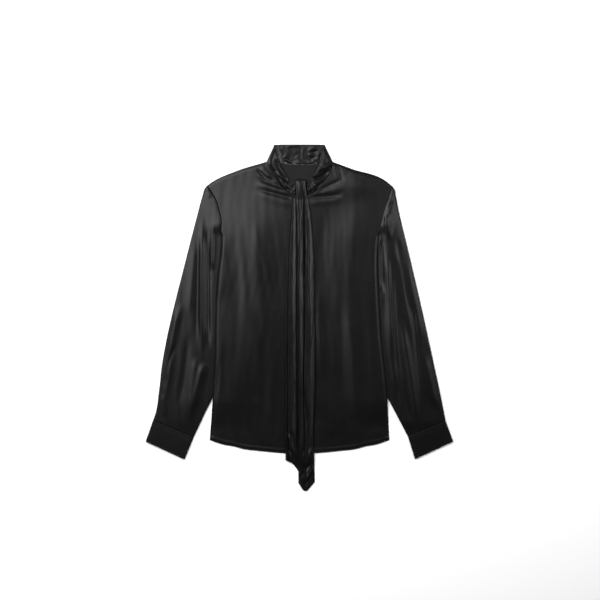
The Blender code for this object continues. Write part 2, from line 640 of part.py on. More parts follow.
def make_tie_under():
    tip_shares = (0.4, 0.75, 1.0)

    def place(u, row):
        if row < len(UNDER_ROWS):
            y = UNDER_ROWS[row]
        else:
            tip = through(UNDER_TIP, fold_grid(UNDER_STATIONS, UNDER_FOLDS, u, UNDER_STATIONS[-1])[0])
            y = UNDER_ROWS[-1] + tip_shares[row - len(UNDER_ROWS)] * (tip - UNDER_ROWS[-1])
        x, height = fold_grid(UNDER_STATIONS, UNDER_FOLDS, u, y)
        return x, y, bed_height(y) + height

    count = len(UNDER_ROWS) + len(tip_shares)
    add_sheet("tie_end_under", shares(12), range(count - 1, -1, -1), place)


def main():
    for leftover in list(bpy.data.objects):
        bpy.data.objects.remove(leftover)
    group = bpy.data.collections.new("tie_neck_blouse")
    bpy.context.scene.collection.children.link(group)
    make_back()
    make_collar_back()
    for side in (LEFT, RIGHT):
        make_front(side)
        make_sleeve(side)
        make_cuff(side)
        make_collar_front(side)
    make_knot()
    make_tie_under()
    make_tie_over()


main()
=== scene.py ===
"""Looks of the tie neck blouse, a black satin blouse laid flat with its front up.

Sizes are in millimetres and become metres where a mesh is made. X runs across the blouse, Y
towards the collar and Z up. "Left" and "right" are as seen from above, and "out" is the distance
from the centre line to either side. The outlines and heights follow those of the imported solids,
and each piece of cloth is a thin shell on its solid's form, with the finer folds added.
"""

from collections import namedtuple

import bpy
import numpy as np
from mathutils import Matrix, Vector


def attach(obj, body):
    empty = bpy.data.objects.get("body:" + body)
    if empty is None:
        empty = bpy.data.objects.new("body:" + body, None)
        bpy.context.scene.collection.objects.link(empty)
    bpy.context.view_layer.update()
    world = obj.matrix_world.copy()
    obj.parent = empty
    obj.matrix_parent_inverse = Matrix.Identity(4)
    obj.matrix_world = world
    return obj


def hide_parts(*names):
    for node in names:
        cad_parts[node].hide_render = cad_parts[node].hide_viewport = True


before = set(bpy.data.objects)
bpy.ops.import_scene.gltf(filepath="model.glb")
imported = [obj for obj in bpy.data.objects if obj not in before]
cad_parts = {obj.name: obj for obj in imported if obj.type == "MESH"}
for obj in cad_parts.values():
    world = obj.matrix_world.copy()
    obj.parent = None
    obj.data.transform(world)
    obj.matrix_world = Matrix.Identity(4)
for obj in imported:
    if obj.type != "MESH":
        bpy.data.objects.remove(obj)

bl_info = {
    "name": "Tie Neck Blouse",
    "version": (1, 0, 0),
    "blender": (4, 5, 0),
    "location": "View3D > Sidebar > Blouse",
    "description": "Builds a satin tie neck blouse on its packed solids",
    "category": "Object",
}

MM = 0.001
LEFT, RIGHT = -1, 1
SIDE_NAMES = {LEFT: "left", RIGHT: "right"}
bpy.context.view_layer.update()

# Cloth and how it lies, as in the solids
CLOTH = 1.2
SEAM_GAP = 0.3
SIDE_GAP = 0.3  # less than the solids' 1.0, so that no floor shows between body and sleeve
FOLD_GAP = 0.15
AIR = 1.7
EDGE_ROLL = 8.0
TUBE_HEIGHT = 4.4
CUFF_HEIGHT = 5.0
PRESSED = 0.3  # how far a tube's edges round over, in half heights
RINGS, CUFF_RINGS = 240, 40
TUBE_TOP, CUFF_TOP_POINTS, TUBE_UNDER, TUBE_ROUND = 56, 70, 14, 5  # points of a ring
LIFT = TUBE_HEIGHT + SEAM_GAP + FOLD_GAP
LIFT_RAMP = 90.0
# How far in from its side the body lies high, further than in the solids. Columns: y, width.
LIFT_REACH = ((-262, 12), (-184, 30), (-29, 52), (75, 57), (160, 54), (330, 40))
LIFT_TOP, LIFT_TOP_RUN = 330.0, 150.0
LIFT_FOOT, LIFT_FOOT_RUN = -262.0, 72.0
ARMHOLE_Y, ARMHOLE_BLEND = 190.0, 25.0  # above it a sleeve lies beside the body
GAP_BLEND = 12.0  # over this run up the armhole the gap beside the body opens
HALF_OVERLAP = 12.0
# Where the fronts overlap, the right one lies flat and the left one stays up over it.
OVERLAP_START = {LEFT: -24.0, RIGHT: 12.0}
OVERLAP_RUN = {LEFT: 10.0, RIGHT: 12.0}
TROUGH_SHARE = 0.85  # deepest trough, as a share of the air under the front
SIDE_DROP, SIDE_DROP_RUN, ARMHOLE_SHIFT = 1.0, 3.0, 9.0  # the front's side comes to rest
STACK = CLOTH + SEAM_GAP + FOLD_GAP  # from the back's underside to the front's
TIE_BED = STACK + AIR + CLOTH + SEAM_GAP

# Outlines. Columns: y, out.
BODY_EDGE = {
    LEFT: ((-287, 210.8), (-184, 203.3), (-29, 197.9), (61, 195.5), (108, 191.8), (156, 185.9),
           (204, 183.5), (232, 183.5), (251, 188.2), (275, 195.5), (296, 207.5), (310, 217.5)),
    RIGHT: ((-287, 211.0), (-184, 205.2), (-29, 190.6), (61, 185.5), (108, 183.5), (156, 183.5),
            (204, 188.0), (228, 193.0), (251, 198.5), (266, 202.6), (296, 212.0), (310, 216.5)),
}
SLEEVE_EDGE = {
    LEFT: ((-240, 343.1), (-232, 340.0), (-169, 329.0), (-118, 323.4), (-40, 309.5), (31, 293.0),
           (131, 267.9), (219, 245.8), (288, 227.5), (304, 222.4), (309.4, 218.4)),
    RIGHT: ((-242, 342.5), (-232, 340.5), (-169, 328.0), (-118, 317.0), (-40, 300.0), (21, 286.5),
            (164, 253.3), (247, 233.8), (288, 225.5), (304, 222.0), (309.4, 217.4)),
}
TUCK = ((-184, 0), (-120, 13), (-29, 31), (60, 45), (90, 45), (115, 38), (140, 25), (162, 12),
        (180, 3), (194, 0))
# Columns: out, y.
SHOULDER = {
    LEFT: ((77.8, 366.4), (149.2, 344.3), (207.0, 317.6), (217.5, 310.0)),
    RIGHT: ((79.0, 366.0), (122.9, 349.9), (207.0, 318.0), (216.5, 310.0)),
}
HEM = ((0, -318.0), (34, -317.5), (101, -311.4), (130, -308.0), (157, -301.0), (177, -297.5),
       (212, -286.0))
NECKLINE = {
    LEFT: ((0, 288.5), (19, 291.0), (33, 301.5), (48.2, 313.3), (63.2, 335.6), (72.0, 352.0),
           (77.8, 366.4)),
    RIGHT: ((0, 288.5), (20.7, 288.6), (42.1, 299.5), (52.2, 312.5), (66.0, 330.0), (75.0, 346.0),
            (79.0, 366.0)),
}
BACK_NECK = ((0, 360.0), (40, 361.4), (80, 366.5))
NECK_OUT = 78.0

UNDERARM_Y = 85.0
CROTCH_Y = -184.0
CAP_SHARE, CAP_START = 0.12, 0.35  # the cap's rings stand closer together
CAP_FADE = 0.5
SLEEVE_TROUGH = -3.2
SLEEVE_CLEAR, SLEEVE_EDGE_RUN, CROTCH_RUN = 9.0, 8.0, 30.0  # runs over which the folds come in
CAP_LOW, CAP_LOW_RUN = 192.0, 30.0  # beside the armhole the cap rises as the body does
CAP_BESIDE, CAP_BESIDE_RUN = 4.0, 34.0
CROWN_LOW, CROWN_LOW_RUN = -278.0, 40.0  # the crown flattens towards the cuff
CUFF_TOP = {LEFT: ((343.1, -240.2), (249.1, -280.1)), RIGHT: ((342.5, -242.0), (255.0, -278.5))}
CUFF_END = {LEFT: ((360.7, -290.5), (270.3, -331.8)), RIGHT: ((360.3, -290.2), (271.4, -331.1))}

# Collar. Columns: x, y, from the side fold to the crossing.
COLLAR_TOP_Y = 406.8
COLLAR_TOP_OUT = 59.0
COLLAR_FOOT_OUT = 77.5
COLLAR_SEAM = {
    LEFT: ((-77.0, 366.6), (-71.2, 352.4), (-62.4, 336.0), (-47.4, 314.1), (-33.0, 302.6)),
    RIGHT: ((78.2, 366.2), (74.2, 346.2), (65.3, 330.6), (51.4, 313.4), (42.6, 300.9)),
}
COLLAR_EDGE = {
    LEFT: ((-58.6, 406.0), (-51.9, 377.9), (-44.0, 357.0), (-34.5, 339.5), (-24.7, 326.2)),
    RIGHT: ((58.6, 406.0), (49.5, 377.0), (45.0, 361.0), (39.5, 346.0), (31.0, 334.5)),
}
COLLAR_LOW, COLLAR_HIGH = 1.5, 7.4
COLLAR_LEAN = 2.4  # the back collar's inside rises towards its upper edge
COLLAR_LIP, COLLAR_LIP_SHARE = 1.8, 0.12  # the back collar's foot stands over the neck seam
COLLAR_CLEAR_OUT, COLLAR_CLEAR_RUN = 50.0, 8.0  # beyond it the front parts cover the inside
COLLAR_CREST = 0.8
COLLAR_DEEPEST = {"back": -0.5, "front": -3.4}
COLLAR_FOLD_SHARE = 0.22  # over this share from the side fold a front part opens out
RIM_DROP, RIM_SHARE = -1.2, 0.07
FOOT_DIP = -1.6  # the dark line where a front part meets the front
KNOT_FOOT_DIP, KNOT_HEAD_DIP = 3.0, 2.0
KNOT_FOOT = ((-31.6, 302.4), (-19, 293.2), (0, 290.0), (20.7, 290.2), (41.4, 301.0))
KNOT_HEAD = ((-24.0, 324.6), (-12, 317.0), (2, 315.5), (16, 318.0), (30.2, 332.6))
# Columns: share across, underside.
KNOT_RIDGES = ((0.0, 4.4), (0.06, 4.0), (0.13, 2.4), (0.2, 1.8), (0.28, 3.0), (0.34, 7.6), (0.45, 8.6),
               (0.55, 8.6), (0.63, 4.0), (0.7, 6.8), (0.76, 4.6), (0.83, 6.8), (0.9, 4.8), (1.0, 6.4))

# Tie ends. Each line runs down the cloth; a crest is high and a valley is low.
FoldLine = namedtuple("FoldLine", "x height")
OVER_STATIONS = (277, 194, 70, -29, -167, -275, -345, -385)
OVER_FOLDS = (
    FoldLine((-8.5, -5.4, -3.2, -2.2, -2.0, -2.2, -2.4, -2.6),
             (5.0, 2.8, 2.4, 2.2, 2.2, 2.2, 2.0, 1.0)),
    FoldLine((-6.4, -3.4, -1.4, -0.8, -0.2, -0.8, 0.2, 1.4),
             (7.8, 5.6, 5.2, 4.8, 5.0, 4.6, 3.0, 1.2)),
    FoldLine((1.0, 1.2, 1.2, 1.6, 3.4, 1.8, 3.0, 5.6),
             (8.0, 5.6, 4.4, 4.6, 3.4, 3.2, 3.4, 2.4)),
    FoldLine((7.6, 7.8, 8.6, 9.2, 7.4, 8.6, 9.6, 8.6),
             (8.2, 6.0, 5.6, 5.4, 5.2, 4.6, 1.6, 1.0)),
    FoldLine((10.2, 10.8, 11.2, 11.2, 9.4, 12.6, 12.4, 12.0),
             (4.0, 0.2, 0.0, 0.0, 0.0, 0.0, 0.0, 0.0)),
    FoldLine((10.8, 11.8, 12.2, 12.0, 10.2, 20.6, 14.0, 13.0),
             (4.0, 0.2, 0.0, 0.0, 0.0, 0.2, 0.4, 0.2)),
    FoldLine((14.0, 15.0, 14.8, 14.0, 12.6, 24.6, 18.0, 17.0),
             (7.4, 5.6, 5.2, 4.8, 4.6, 3.4, 3.2, 2.2)),
    FoldLine((17.8, 23.6, 24.6, 26.4, 24.2, 27.2, 26.0, 23.5),
             (6.2, 4.8, 3.4, 3.6, 2.2, 3.6, 0.8, 0.4)),
    FoldLine((20.6, 30.2, 34.2, 35.4, 35.4, 31.4, 31.4, 31.0),
             (7.4, 5.6, 5.0, 4.6, 4.6, 4.6, 3.2, 2.0)),
    FoldLine((21.6, 31.6, 35.8, 37.4, 37.8, 33.4, 35.2, 36.0),
             (4.4, 2.0, 0.6, 0.4, 0.4, 0.4, 0.4, 0.2)),
)
UNDER_STATIONS = (283, 240, 194, 70, -29, -167, -318, -334)
UNDER_FOLDS = (
    FoldLine((-17.8, -22.4, -26.8, -30.6, -32.2, -32.7, -32.9, -32.9),
             (0.0, 0.0, 0.2, 0.2, 0.2, 0.2, 0.2, 0.2)),
    FoldLine((-16.8, -21.2, -25.6, -29.4, -31.0, -31.4, -30.2, -29.6),
             (2.2, 3.2, 3.6, 3.6, 3.8, 4.0, 4.2, 3.0)),
    FoldLine((-15.2, -18.6, -22.6, -26.6, -27.4, -27.6, -25.4, -24.4),
             (1.0, 1.2, 1.2, 1.6, 0.6, 1.8, 0.8, 0.6)),
    FoldLine((-14.0, -16.6, -20.4, -24.2, -24.8, -25.0, -22.2, -20.4),
             (2.8, 3.8, 4.2, 4.6, 4.4, 4.6, 3.4, 3.0)),
    FoldLine((-11.6, -12.4, -14.0, -16.0, -15.8, -15.2, -16.4, -15.4),
             (2.0, 3.0, 3.4, 3.2, 3.6, 2.4, 2.6, 1.6)),
    FoldLine((-9.8, -9.4, -8.8, -8.8, -8.8, -8.6, -10.4, -11.4),
             (2.4, 3.6, 4.2, 4.4, 4.2, 4.2, 3.4, 2.0)),
    FoldLine((-8.8, -7.6, -6.6, -5.8, -5.4, -5.4, -6.0, -7.0),
             (0.0, 0.0, 0.0, 0.0, 0.0, 0.0, 0.6, 0.6)),
    FoldLine((-8.4, -7.2, -6.0, -5.2, -4.6, -4.6, -1.8, -1.8),
             (0.0, 0.0, 0.0, 0.0, 0.0, 0.0, 0.0, 0.0)),
)
# The upper end's roll out of the neck. Columns: y, underside, x of its left side, of its right.
NECK_ROLL = ((319.0, 4.2, -8.0, 11.0), (322.6, 4.6, -9.0, 12.6), (325.0, 7.0, -9.4, 13.4),
             (325.0, 10.0, -9.4, 13.6), (322.0, 12.0, -9.4, 13.6), (316.0, 12.6, -9.2, 14.0),
             (306.0, 12.6, -9.0, 15.2), (294.0, 11.8, -8.8, 17.6), (277.0, 9.6, -8.5, 21.6))
ROLL_BLEND = 22.0
ROLL_RIDGE, ROLL_FROM, ROLL_START = 0.55, 3.0, 0.25  # how much of the pleats the roll shows
OVER_TIP = ((-2.6, -388.0), (10.6, -406.1), (36.0, -385.4))
OVER_END_Y = -350.0
UNDER_TIP = ((-32.9, -333.5), (-12.7, -345.9), (-1.8, -362.0))
UNDER_END_Y = -312.0
UNDER_TIP_SHARE = 0.08
DROP_FROM, DROP_OVER = -321.0, 32.0

# Where the fronts stand fuller. Columns: x, y, half width, half length, height.
FULLNESS = ((-58, 175, 70, 130, 4.4), (-62, -30, 60, 130, 4.0), (134, 308, 44, 26, 2.6))
SLEEVE_CROWN = {LEFT: 0.8, RIGHT: 3.2}

# Soft waves of handling. Columns: first seed, spacing, stretch, height.
FRONT_RIPPLES = (11, 24, 10, 0.13)
SLEEVE_RIPPLES = (21, 18, 10, 0.14)
CUFF_RIPPLES = (31, 40, 1.5, 0.12)
COLLAR_RIPPLES = (41, 14, 1.5, 0.2)
KNOT_RIPPLES = (51, 9, 2, 0.5)
UNDER_RIPPLES = (61, 7, 9, 0.2)
OVER_RIPPLES = (71, 9, 9, 0.25)

# Cells across and up
BACK_CELLS = (150, 220)
FRONT_CELLS = (116, 300)
COLLAR_BACK_CELLS = (140, 56)
COLLAR_FRONT_CELLS = (120, 70)
KNOT_CELLS = (110, 50)
UNDER_CELLS = (70, 260)
OVER_COLUMNS, OVER_ROLL_ROWS, OVER_BODY_ROWS, OVER_TIP_ROWS = 91, 30, 250, 24

# Folds. Each is a soft ridge, or a trough where its height is negative.
# Columns: x and y of its start, of its bend and of its end, then width and height.
FRONT_CREASES = (
    # the large folds of the solids
    ((-180, 190), (-182, 110), (-184, 30), 10, 0.9),
    ((-148, 150), (-146, -20), (-150, -190), 16, -1.0),
    ((-104, 232), (-98, 98), (-76, -62), 13, 1.0),
    ((-101, -10), (-99, -120), (-101, -260), 12, 0.9),
    ((-112, -185), (-84, -214), (-52, -246), 10, 0.45),
    ((108, 82), (124, -100), (136, -268), 13, 1.1),
    ((97, 60), (98, -80), (104, -220), 14, -1.0),
    ((46, 90), (48, -20), (52, -150), 8, 0.8),
    ((168, 200), (166, 20), (172, -190), 14, 0.8),
    # pulled towards the tie, left and right
    ((-104, 330), (-60, 313), (-24, 301), 5, -1.5),
    ((-110, 316), (-60, 303), (-4, 284), 8, 1.2),
    ((-104, 304), (-50, 289), (-8, 278), 5, -1.4),
    ((-112, 296), (-56, 277), (4, 262), 10, 1.0),
    ((-92, 356), (-80, 342), (-62, 322), 6, 1.3),
    ((-98, 352), (-86, 335), (-56, 318), 3, -1.6),
    ((104, 290), (62, 285), (20, 284), 5, -1.3),
    ((100, 324), (70, 310), (40, 294), 4.5, -1.2),
    ((112, 306), (66, 297), (20, 288), 7, 0.9),
    ((104, 276), (60, 273), (14, 268), 8, 0.8),
    ((82, 360), (86, 343), (94, 320), 4.5, 0.7),
    ((90, 358), (95, 338), (104, 314), 5, -0.8),
    # along the sides and in the hem's corners
    ((-188, -96), (-197, -190), (-205, -250), 4, -1.0),
    ((172, -256), (190, -272), (206, -280), 9, 0.6),
    # soft streaks down the left front
    ((-107, 232), (-93, 164), (-65, 77), 7.1, 0.42),
    ((-180, 211), (-173, 131), (-163, 42), 9.4, 0.36),
    ((-159, 211), (-147, 131), (-140, 42), 9.4, -0.3),
    ((-128, 242), (-123, 131), (-112, -29), 9.4, -0.36),
    ((-88, 242), (-79, 131), (-55, -5), 8.2, 0.3),
    ((-140, 242), (-133, 131), (-126, -5), 9.4, 0.24),
    ((-65, 218), (-53, 131), (-39, -29), 7.1, -0.24),
    ((-186, -29), (-187, -123), (-196, -240), 7.1, 0.36),
    ((-168, -52), (-168, -146), (-173, -264), 11.8, -0.3),
    ((-130, -64), (-126, -170), (-128, -287), 11.8, 0.3),
    ((-69, -29), (-65, -146), (-62, -287), 9.4, 0.24),
    ((-149, 42), (-145, -76), (-145, -193), 11.8, 0.3),
    # soft streaks down the right front
    ((43, 16), (46, -29), (51, -80), 7.1, 0.36),
    ((60, 16), (62, -29), (65, -76), 7.1, -0.24),
    ((74, 206), (79, 89), (81, -29), 9.4, 0.24),
    ((53, 242), (55, 159), (60, 65), 7.1, -0.24),
    ((123, 277), (128, 183), (133, 65), 14.1, 0.3),
    ((161, 242), (163, 136), (166, 18), 11.8, -0.24),
    ((170, 18), (177, -99), (187, -240), 11.8, 0.36),
    ((147, -29), (154, -146), (161, -264), 11.8, -0.3),
    ((39, -243), (62, -259), (90, -280), 9.4, 0.48),
    ((72, -99), (76, -181), (79, -268), 9.4, 0.24),
    ((116, 343), (133, 324), (156, 296), 11.8, 0.36),
)
SLEEVE_CREASES = {
    LEFT: (
        ((-229, 240), (-230, 70), (-229, -95), 5, 3.2),
        ((-224, -104), (-239, -158), (-262, -252), 9, 2.6),
        ((-242, -90), (-252, -150), (-268, -240), 8, 1.6),
        ((-275, 40), (-300, -60), (-316, -215), 8, 2.4),
        ((-322, -176), (-319, -207), (-314, -236), 5.0, 0.8),
        ((-290, -59), (-308, -111), (-316, -174), 4.5, -1.6),
        ((-203, 230), (-204, 159), (-206, 108), 4.0, 2.2),
        ((-246, 183), (-253, 89), (-260, -5), 8, 1.2),
        ((-260, -29), (-269, -123), (-286, -217), 7.4, -1.2),
        ((-281, 159), (-290, 65), (-300, -5), 8, 0.9),
        ((-243, 277), (-253, 242), (-260, 195), 9.4, 0.9),
        ((-216, 230), (-215, 65), (-213, -84), 5, -3.0),
        ((-238, 200), (-240, 60), (-244, -70), 5, -1.2),
        ((-204, 296), (-210, 290), (-216, 284), 2.6, 0.9),
        ((-200, 284), (-206, 281), (-213, 276), 2.2, -0.8),
    ),
    RIGHT: (
        ((199, 244), (205, 218), (210, 180), 8, 2.8),
        ((203, 265), (210, 274), (217, 285), 3.1, 1.2),
        ((208, 258), (215, 267), (222, 277), 3.1, -1.0),
        ((227, 195), (241, 108), (262, -29), 5.5, -1.6),
        ((217, 131), (224, -29), (243, -188), 5.5, -1.6),
        ((266, 42), (274, -59), (289, -212), 5.5, -1.4),
        ((235, 16), (261, -137), (278, -252), 7, 2.4),
        ((234, 159), (246, 65), (264, -52), 6, 1.6),
        ((205, 171), (211, 42), (222, -99), 6, 2.6),
        ((203, 42), (213, -76), (231, -193), 6, 1.2),
        ((253, 136), (269, 42), (293, -76), 7.5, 1.4),
        ((231, -146), (246, -217), (264, -268), 6, 1.2),
        ((293, -76), (309, -158), (325, -217), 7, 1.8),
        ((270, 100), (290, 10), (312, -90), 6, 1.2),
        ((193, 188), (192, 124), (195, 51), 5.5, -3.2),
    ),
}
COLLAR_CREASES = {
    LEFT: (
        ((-52, 385), (-45, 357), (-18, 320), 2.2, 1.6),
        ((-56, 375), (-49, 347), (-24, 320), 2.0, -3.0),
        ((-62, 374), (-57, 346), (-22, 314), 2.8, 2.4),
        ((-60, 354), (-46, 330), (-24, 309), 3.0, -2.6),
        ((-58, 346), (-43, 322), (-22, 290), 2.8, 2.4),
        ((-76, 368), (-64, 337), (-40, 300), 3.2, -2.2),
        ((-50, 334), (-41, 318), (-26, 300), 1.6, -1.0),
        ((-56, 404), (-54, 391), (-49, 373), 2.4, -1.4),
        ((-69, 396), (-68, 383), (-72, 368), 6.0, 0.8),
    ),
    RIGHT: (
        ((78, 366), (68, 358), (40, 341), 4.6, 3.0),
        ((62, 363), (52, 352), (38, 340), 1.8, 1.4),
        ((70, 350), (50, 331), (12, 321), 3.8, -3.4),
        ((76, 346), (64, 325), (42, 298), 2.2, 2.2),
        ((70, 335), (56, 318), (38, 302), 2.4, -2.6),
        ((80, 340), (71, 322), (52, 303), 2.2, -1.6),
        ((60, 332), (46, 320), (30, 310), 3.2, 1.4),
        ((55, 405), (54, 381), (46, 350), 2.2, -2.0),
        ((66, 396), (69, 383), (74, 368), 5.4, 0.8),
    ),
}
COLLAR_INSIDE = (
    ((-38, 378), (-24, 367), (-8, 360), 3.4, -2.4),
    ((-11, 361), (15, 358), (46, 364), 3.2, -2.4),
    ((-34, 371), (-28, 364), (-20, 358), 5.0, 1.8),
    ((20, 388), (32, 398), (47, 396), 4.2, 1.2),
    ((47, 396), (47, 386), (36, 378), 3.6, 1.1),
    ((20, 379), (28, 383), (36, 376), 3.4, 1.2),
    ((27, 369), (37, 371), (47, 378), 3.0, 1.1),
    ((25, 385), (35, 390), (43, 390), 3.0, -1.2),
    ((24, 374), (32, 376), (40, 384), 2.4, -0.8),
    ((-52, 396), (-46, 385), (-32, 376), 6.1, -1.6),
    ((-34, 403), (-15, 403), (1, 404), 2.8, 0.9),
    ((4, 404), (4, 387), (4, 366), 1.4, -0.7),
    ((-10, 380), (-4, 372), (2, 362), 5.2, 0.8),
)

# The ends of the tie, twisted and crumpled
TIE_CREASES = (
    ((-30, -268), (-22, -290), (-14, -326), 3.2, 2.2),
    ((-27, -300), (-20, -318), (-8, -340), 2.6, -2.0),
    ((-20, -262), (-14, -290), (-8, -318), 2.6, -1.8),
    ((30, -300), (18, -330), (2, -352), 3.6, 2.4),
    ((33, -322), (22, -346), (4, -372), 3.4, -2.4),
    ((34, -342), (26, -362), (10, -388), 3.4, 2.0),
    ((2, -336), (8, -356), (4, -380), 2.8, -1.8),
    ((10, -302), (6, -322), (-1, -344), 2.6, -1.6),
    ((20, -376), (16, -388), (10, -400), 2.8, -1.6),
)

# Seams and stitching
HEM_TURN = 10.0
HEM_ROLL = 2.5
HEM_STEP = 0.5  # the doubled cloth stands this much higher
HEM_STEP_RUN, HEM_EDGE_RUN = 1.5, 3.0
SHOULDER_SEAM = 6.0  # below the shoulder's edge
BESIDE_SEAM = 1.0  # from a seam or a turned edge to its row of stitches
CUFF_LINES = (2.0, 7.0)  # from the cuff's top
CUFF_EDGE_LINE = 4.0  # from its free end
GROOVE = 1.1  # width of the dip that a row of stitches pulls into the cloth
HEM_DIP, SHOULDER_DIP, SEAM_DIP = 0.35, 0.5, 0.3  # depths
STITCH_ENDS = (0, 0.15, 0.85, 1)  # shares of a stitch's length
STITCH_GIRTHS = (0.35, 1, 1, 0.35)  # shares of its radius
STITCH_SIDES = 6
HEM_STITCHES_OUT = (14.0, 207.0)
SHOULDER_STITCHES_OUT = (84.0, 212.0)
CUFF_STITCHES = (0.04, 0.97)  # shares of the cuff's width

# Camera and lights
PHOTO_CENTRE = (1.2, 41.8)
CAMERA_HEIGHT = 3.0
VIEW_WIDTH = 1.41
SENSOR = 36.0
FLOOR_DROP = 0.2
FLOOR_REACH = 8.0
KEY_PLACE, KEY_SIZE = (-0.85, 0.8, 1.7), 1.5
FILL_PLACE, FILL_SIZE = (1.15, 0.5, 1.4), 0.9
WALL_TOP, CEILING_EDGE = 0.45, 0.75  # as the sine of the elevation
CEILING = (0.04, 0.04, 0.04)


def ease(share):
    """0 below 0, 1 above 1, and an S between."""
    share = np.clip(share, 0, 1)
    return share * share * (3 - 2 * share)


def through(table, place):
    """Values at places on the smooth curve through a table of (place, value) rows."""
    places, values = np.array(sorted(table), float).T
    slopes = np.gradient(values, places)
    i = np.clip(np.searchsorted(places, place) - 1, 0, len(places) - 2)
    step = places[i + 1] - places[i]
    t = np.clip((place - places[i]) / step, 0, 1)
    rise = values[i + 1] - values[i]
    start, end = slopes[i] * step, slopes[i + 1] * step
    return values[i] + t * (start + t * (3 * rise - 2 * start - end + t * (start + end - 2 * rise)))


def along(points, share):
    """x and y at shares of the length of the smooth curve through the points."""
    points = np.array(points, float)
    lengths = np.r_[0, np.cumsum(np.linalg.norm(np.diff(points, axis=0), axis=1))]
    lengths /= lengths[-1]
    return [through(tuple(zip(lengths, column)), share) for column in points.T]


def edge_x(side, y):
    """The body's side at a height y."""
    return side * through(BODY_EDGE[side], y)


def tucked_x(side, y):
    """The sleeve's inner edge where it lies under the body, or beside the armhole."""
    beside = SIDE_GAP * ease((y - ARMHOLE_Y) / GAP_BLEND)
    return side * (through(BODY_EDGE[side], y) - through(TUCK, y) + beside)


def body_lift(x, y):
    """How far the body rises over the sleeves tucked under its sides."""
    edge = np.where(x < 0, through(BODY_EDGE[LEFT], y), through(BODY_EDGE[RIGHT], y))
    reach = through(LIFT_REACH, y)
    window = ease((LIFT_TOP - y) / LIFT_TOP_RUN) * ease((y - LIFT_FOOT) / LIFT_FOOT_RUN)
    return LIFT * window * (1 - ease((edge - np.abs(x) - reach) / LIFT_RAMP))


def crease_height(creases, x, y):
    """Height that the folds add at each point."""
    total = np.zeros(np.shape(x))
    steps = np.linspace(0, 1, 17)
    for *places, width, height in creases:
        start, bend, end = np.array(places, float)
        control = 2 * bend - (start + end) / 2
        share = steps[:, None]
        line = (1 - share) ** 2 * start + 2 * share * (1 - share) * control + share**2 * end
        reach = 3.5 * width
        low, high = line.min(0) - reach, line.max(0) + reach
        near = (x > low[0]) & (x < high[0]) & (y > low[1]) & (y < high[1])
        if not near.any():
            continue
        px, py = x[near], y[near]
        best, place = np.full(px.shape, np.inf), np.zeros(px.shape)
        for k, (a, b) in enumerate(zip(line[:-1], line[1:])):
            run = b - a
            t = np.clip(((px - a[0]) * run[0] + (py - a[1]) * run[1]) / (run @ run), 0, 1)
            away = np.hypot(px - a[0] - t * run[0], py - a[1] - t * run[1])
            closer = away < best
            best = np.where(closer, away, best)
            place = np.where(closer, (k + t) / (len(line) - 1), place)
        fade = ease(3.5 * np.minimum(place, 1 - place))
        total[near] += height * fade * np.exp(-((best / width) ** 2))
    return total


def ripples(x, y, waves_of, side=0):
    """Soft irregular waves, longer down the cloth than across it."""
    first_seed, spacing, stretch, height = waves_of
    random = np.random.default_rng(first_seed + side)
    total = np.zeros(np.shape(x))
    waves = 12
    for _ in range(waves):
        length = spacing * random.uniform(0.6, 1.9)
        tilt = random.normal(0, 1 / stretch)
        phase, bend_phase, swell_phase = random.uniform(0, 2 * np.pi, 3)
        bend = 0.9 * np.sin(2 * np.pi * y / (length * stretch) + bend_phase)
        swell = 0.5 + 0.5 * np.sin(2 * np.pi * (y + 0.4 * x) / (1.7 * length * stretch) + swell_phase)
        total += swell * np.sin(2 * np.pi * (x * np.cos(tilt) + y * np.sin(tilt)) / length + phase + bend)
    return height * total / np.sqrt(waves)


def body_inwards(x, y, side):
    """Distance in from the body's side, its hem and its shoulder."""
    inwards = np.abs(edge_x(side, y)) - np.abs(x)
    from_hem = y - through(HEM, np.abs(x))
    from_shoulder = np.where(np.abs(x) < NECK_OUT, 99.0, through(SHOULDER[side], np.abs(x)) - y)
    return inwards, from_hem, from_shoulder


def groove(away, depth):
    """The dip along a seam or a row of stitches."""
    return -depth * np.exp(-((away / GROOVE) ** 2))


def front_top(x, y, side):
    """Height of a front's outer face: over the back, with air under it and its folds."""
    inwards, from_hem, from_shoulder = body_inwards(x, y, side)
    beside_armhole = ease((y - ARMHOLE_Y) / ARMHOLE_BLEND)
    from_side = inwards + 2 * EDGE_ROLL * beside_armhole
    rounded = ease(np.minimum(np.minimum(from_side, from_shoulder) / EDGE_ROLL, from_hem / HEM_ROLL))
    air = AIR * rounded
    at_centre = ease((x - OVERLAP_START[side]) / OVERLAP_RUN[side])
    air = air * at_centre if side == RIGHT else np.maximum(air, AIR * at_centre)
    folds = crease_height(FRONT_CREASES, x, y) + ripples(x, y, FRONT_RIPPLES, side)
    for mound_x, mound_y, wide, long, high in FULLNESS:
        folds = folds + high * np.exp(-(((x - mound_x) / wide) ** 2) - ((y - mound_y) / long) ** 2)
    folds = folds * rounded
    folds = np.where(folds < 0, np.maximum(folds, -TROUGH_SHARE * air), folds)
    hem_band = HEM_STEP * (1 - ease((from_hem - HEM_TURN) / HEM_STEP_RUN)) * ease(from_hem / HEM_EDGE_RUN)
    seams = groove(from_hem - HEM_TURN - BESIDE_SEAM, HEM_DIP)
    seams = seams + groove(from_shoulder - SHOULDER_SEAM, SHOULDER_DIP)
    seams = seams + groove(inwards, SEAM_DIP) * beside_armhole
    resting = SIDE_DROP * (1 - ease((inwards + ARMHOLE_SHIFT * beside_armhole) / SIDE_DROP_RUN))
    return body_lift(x, y) + STACK + CLOTH + air + folds + hem_band + seams - resting


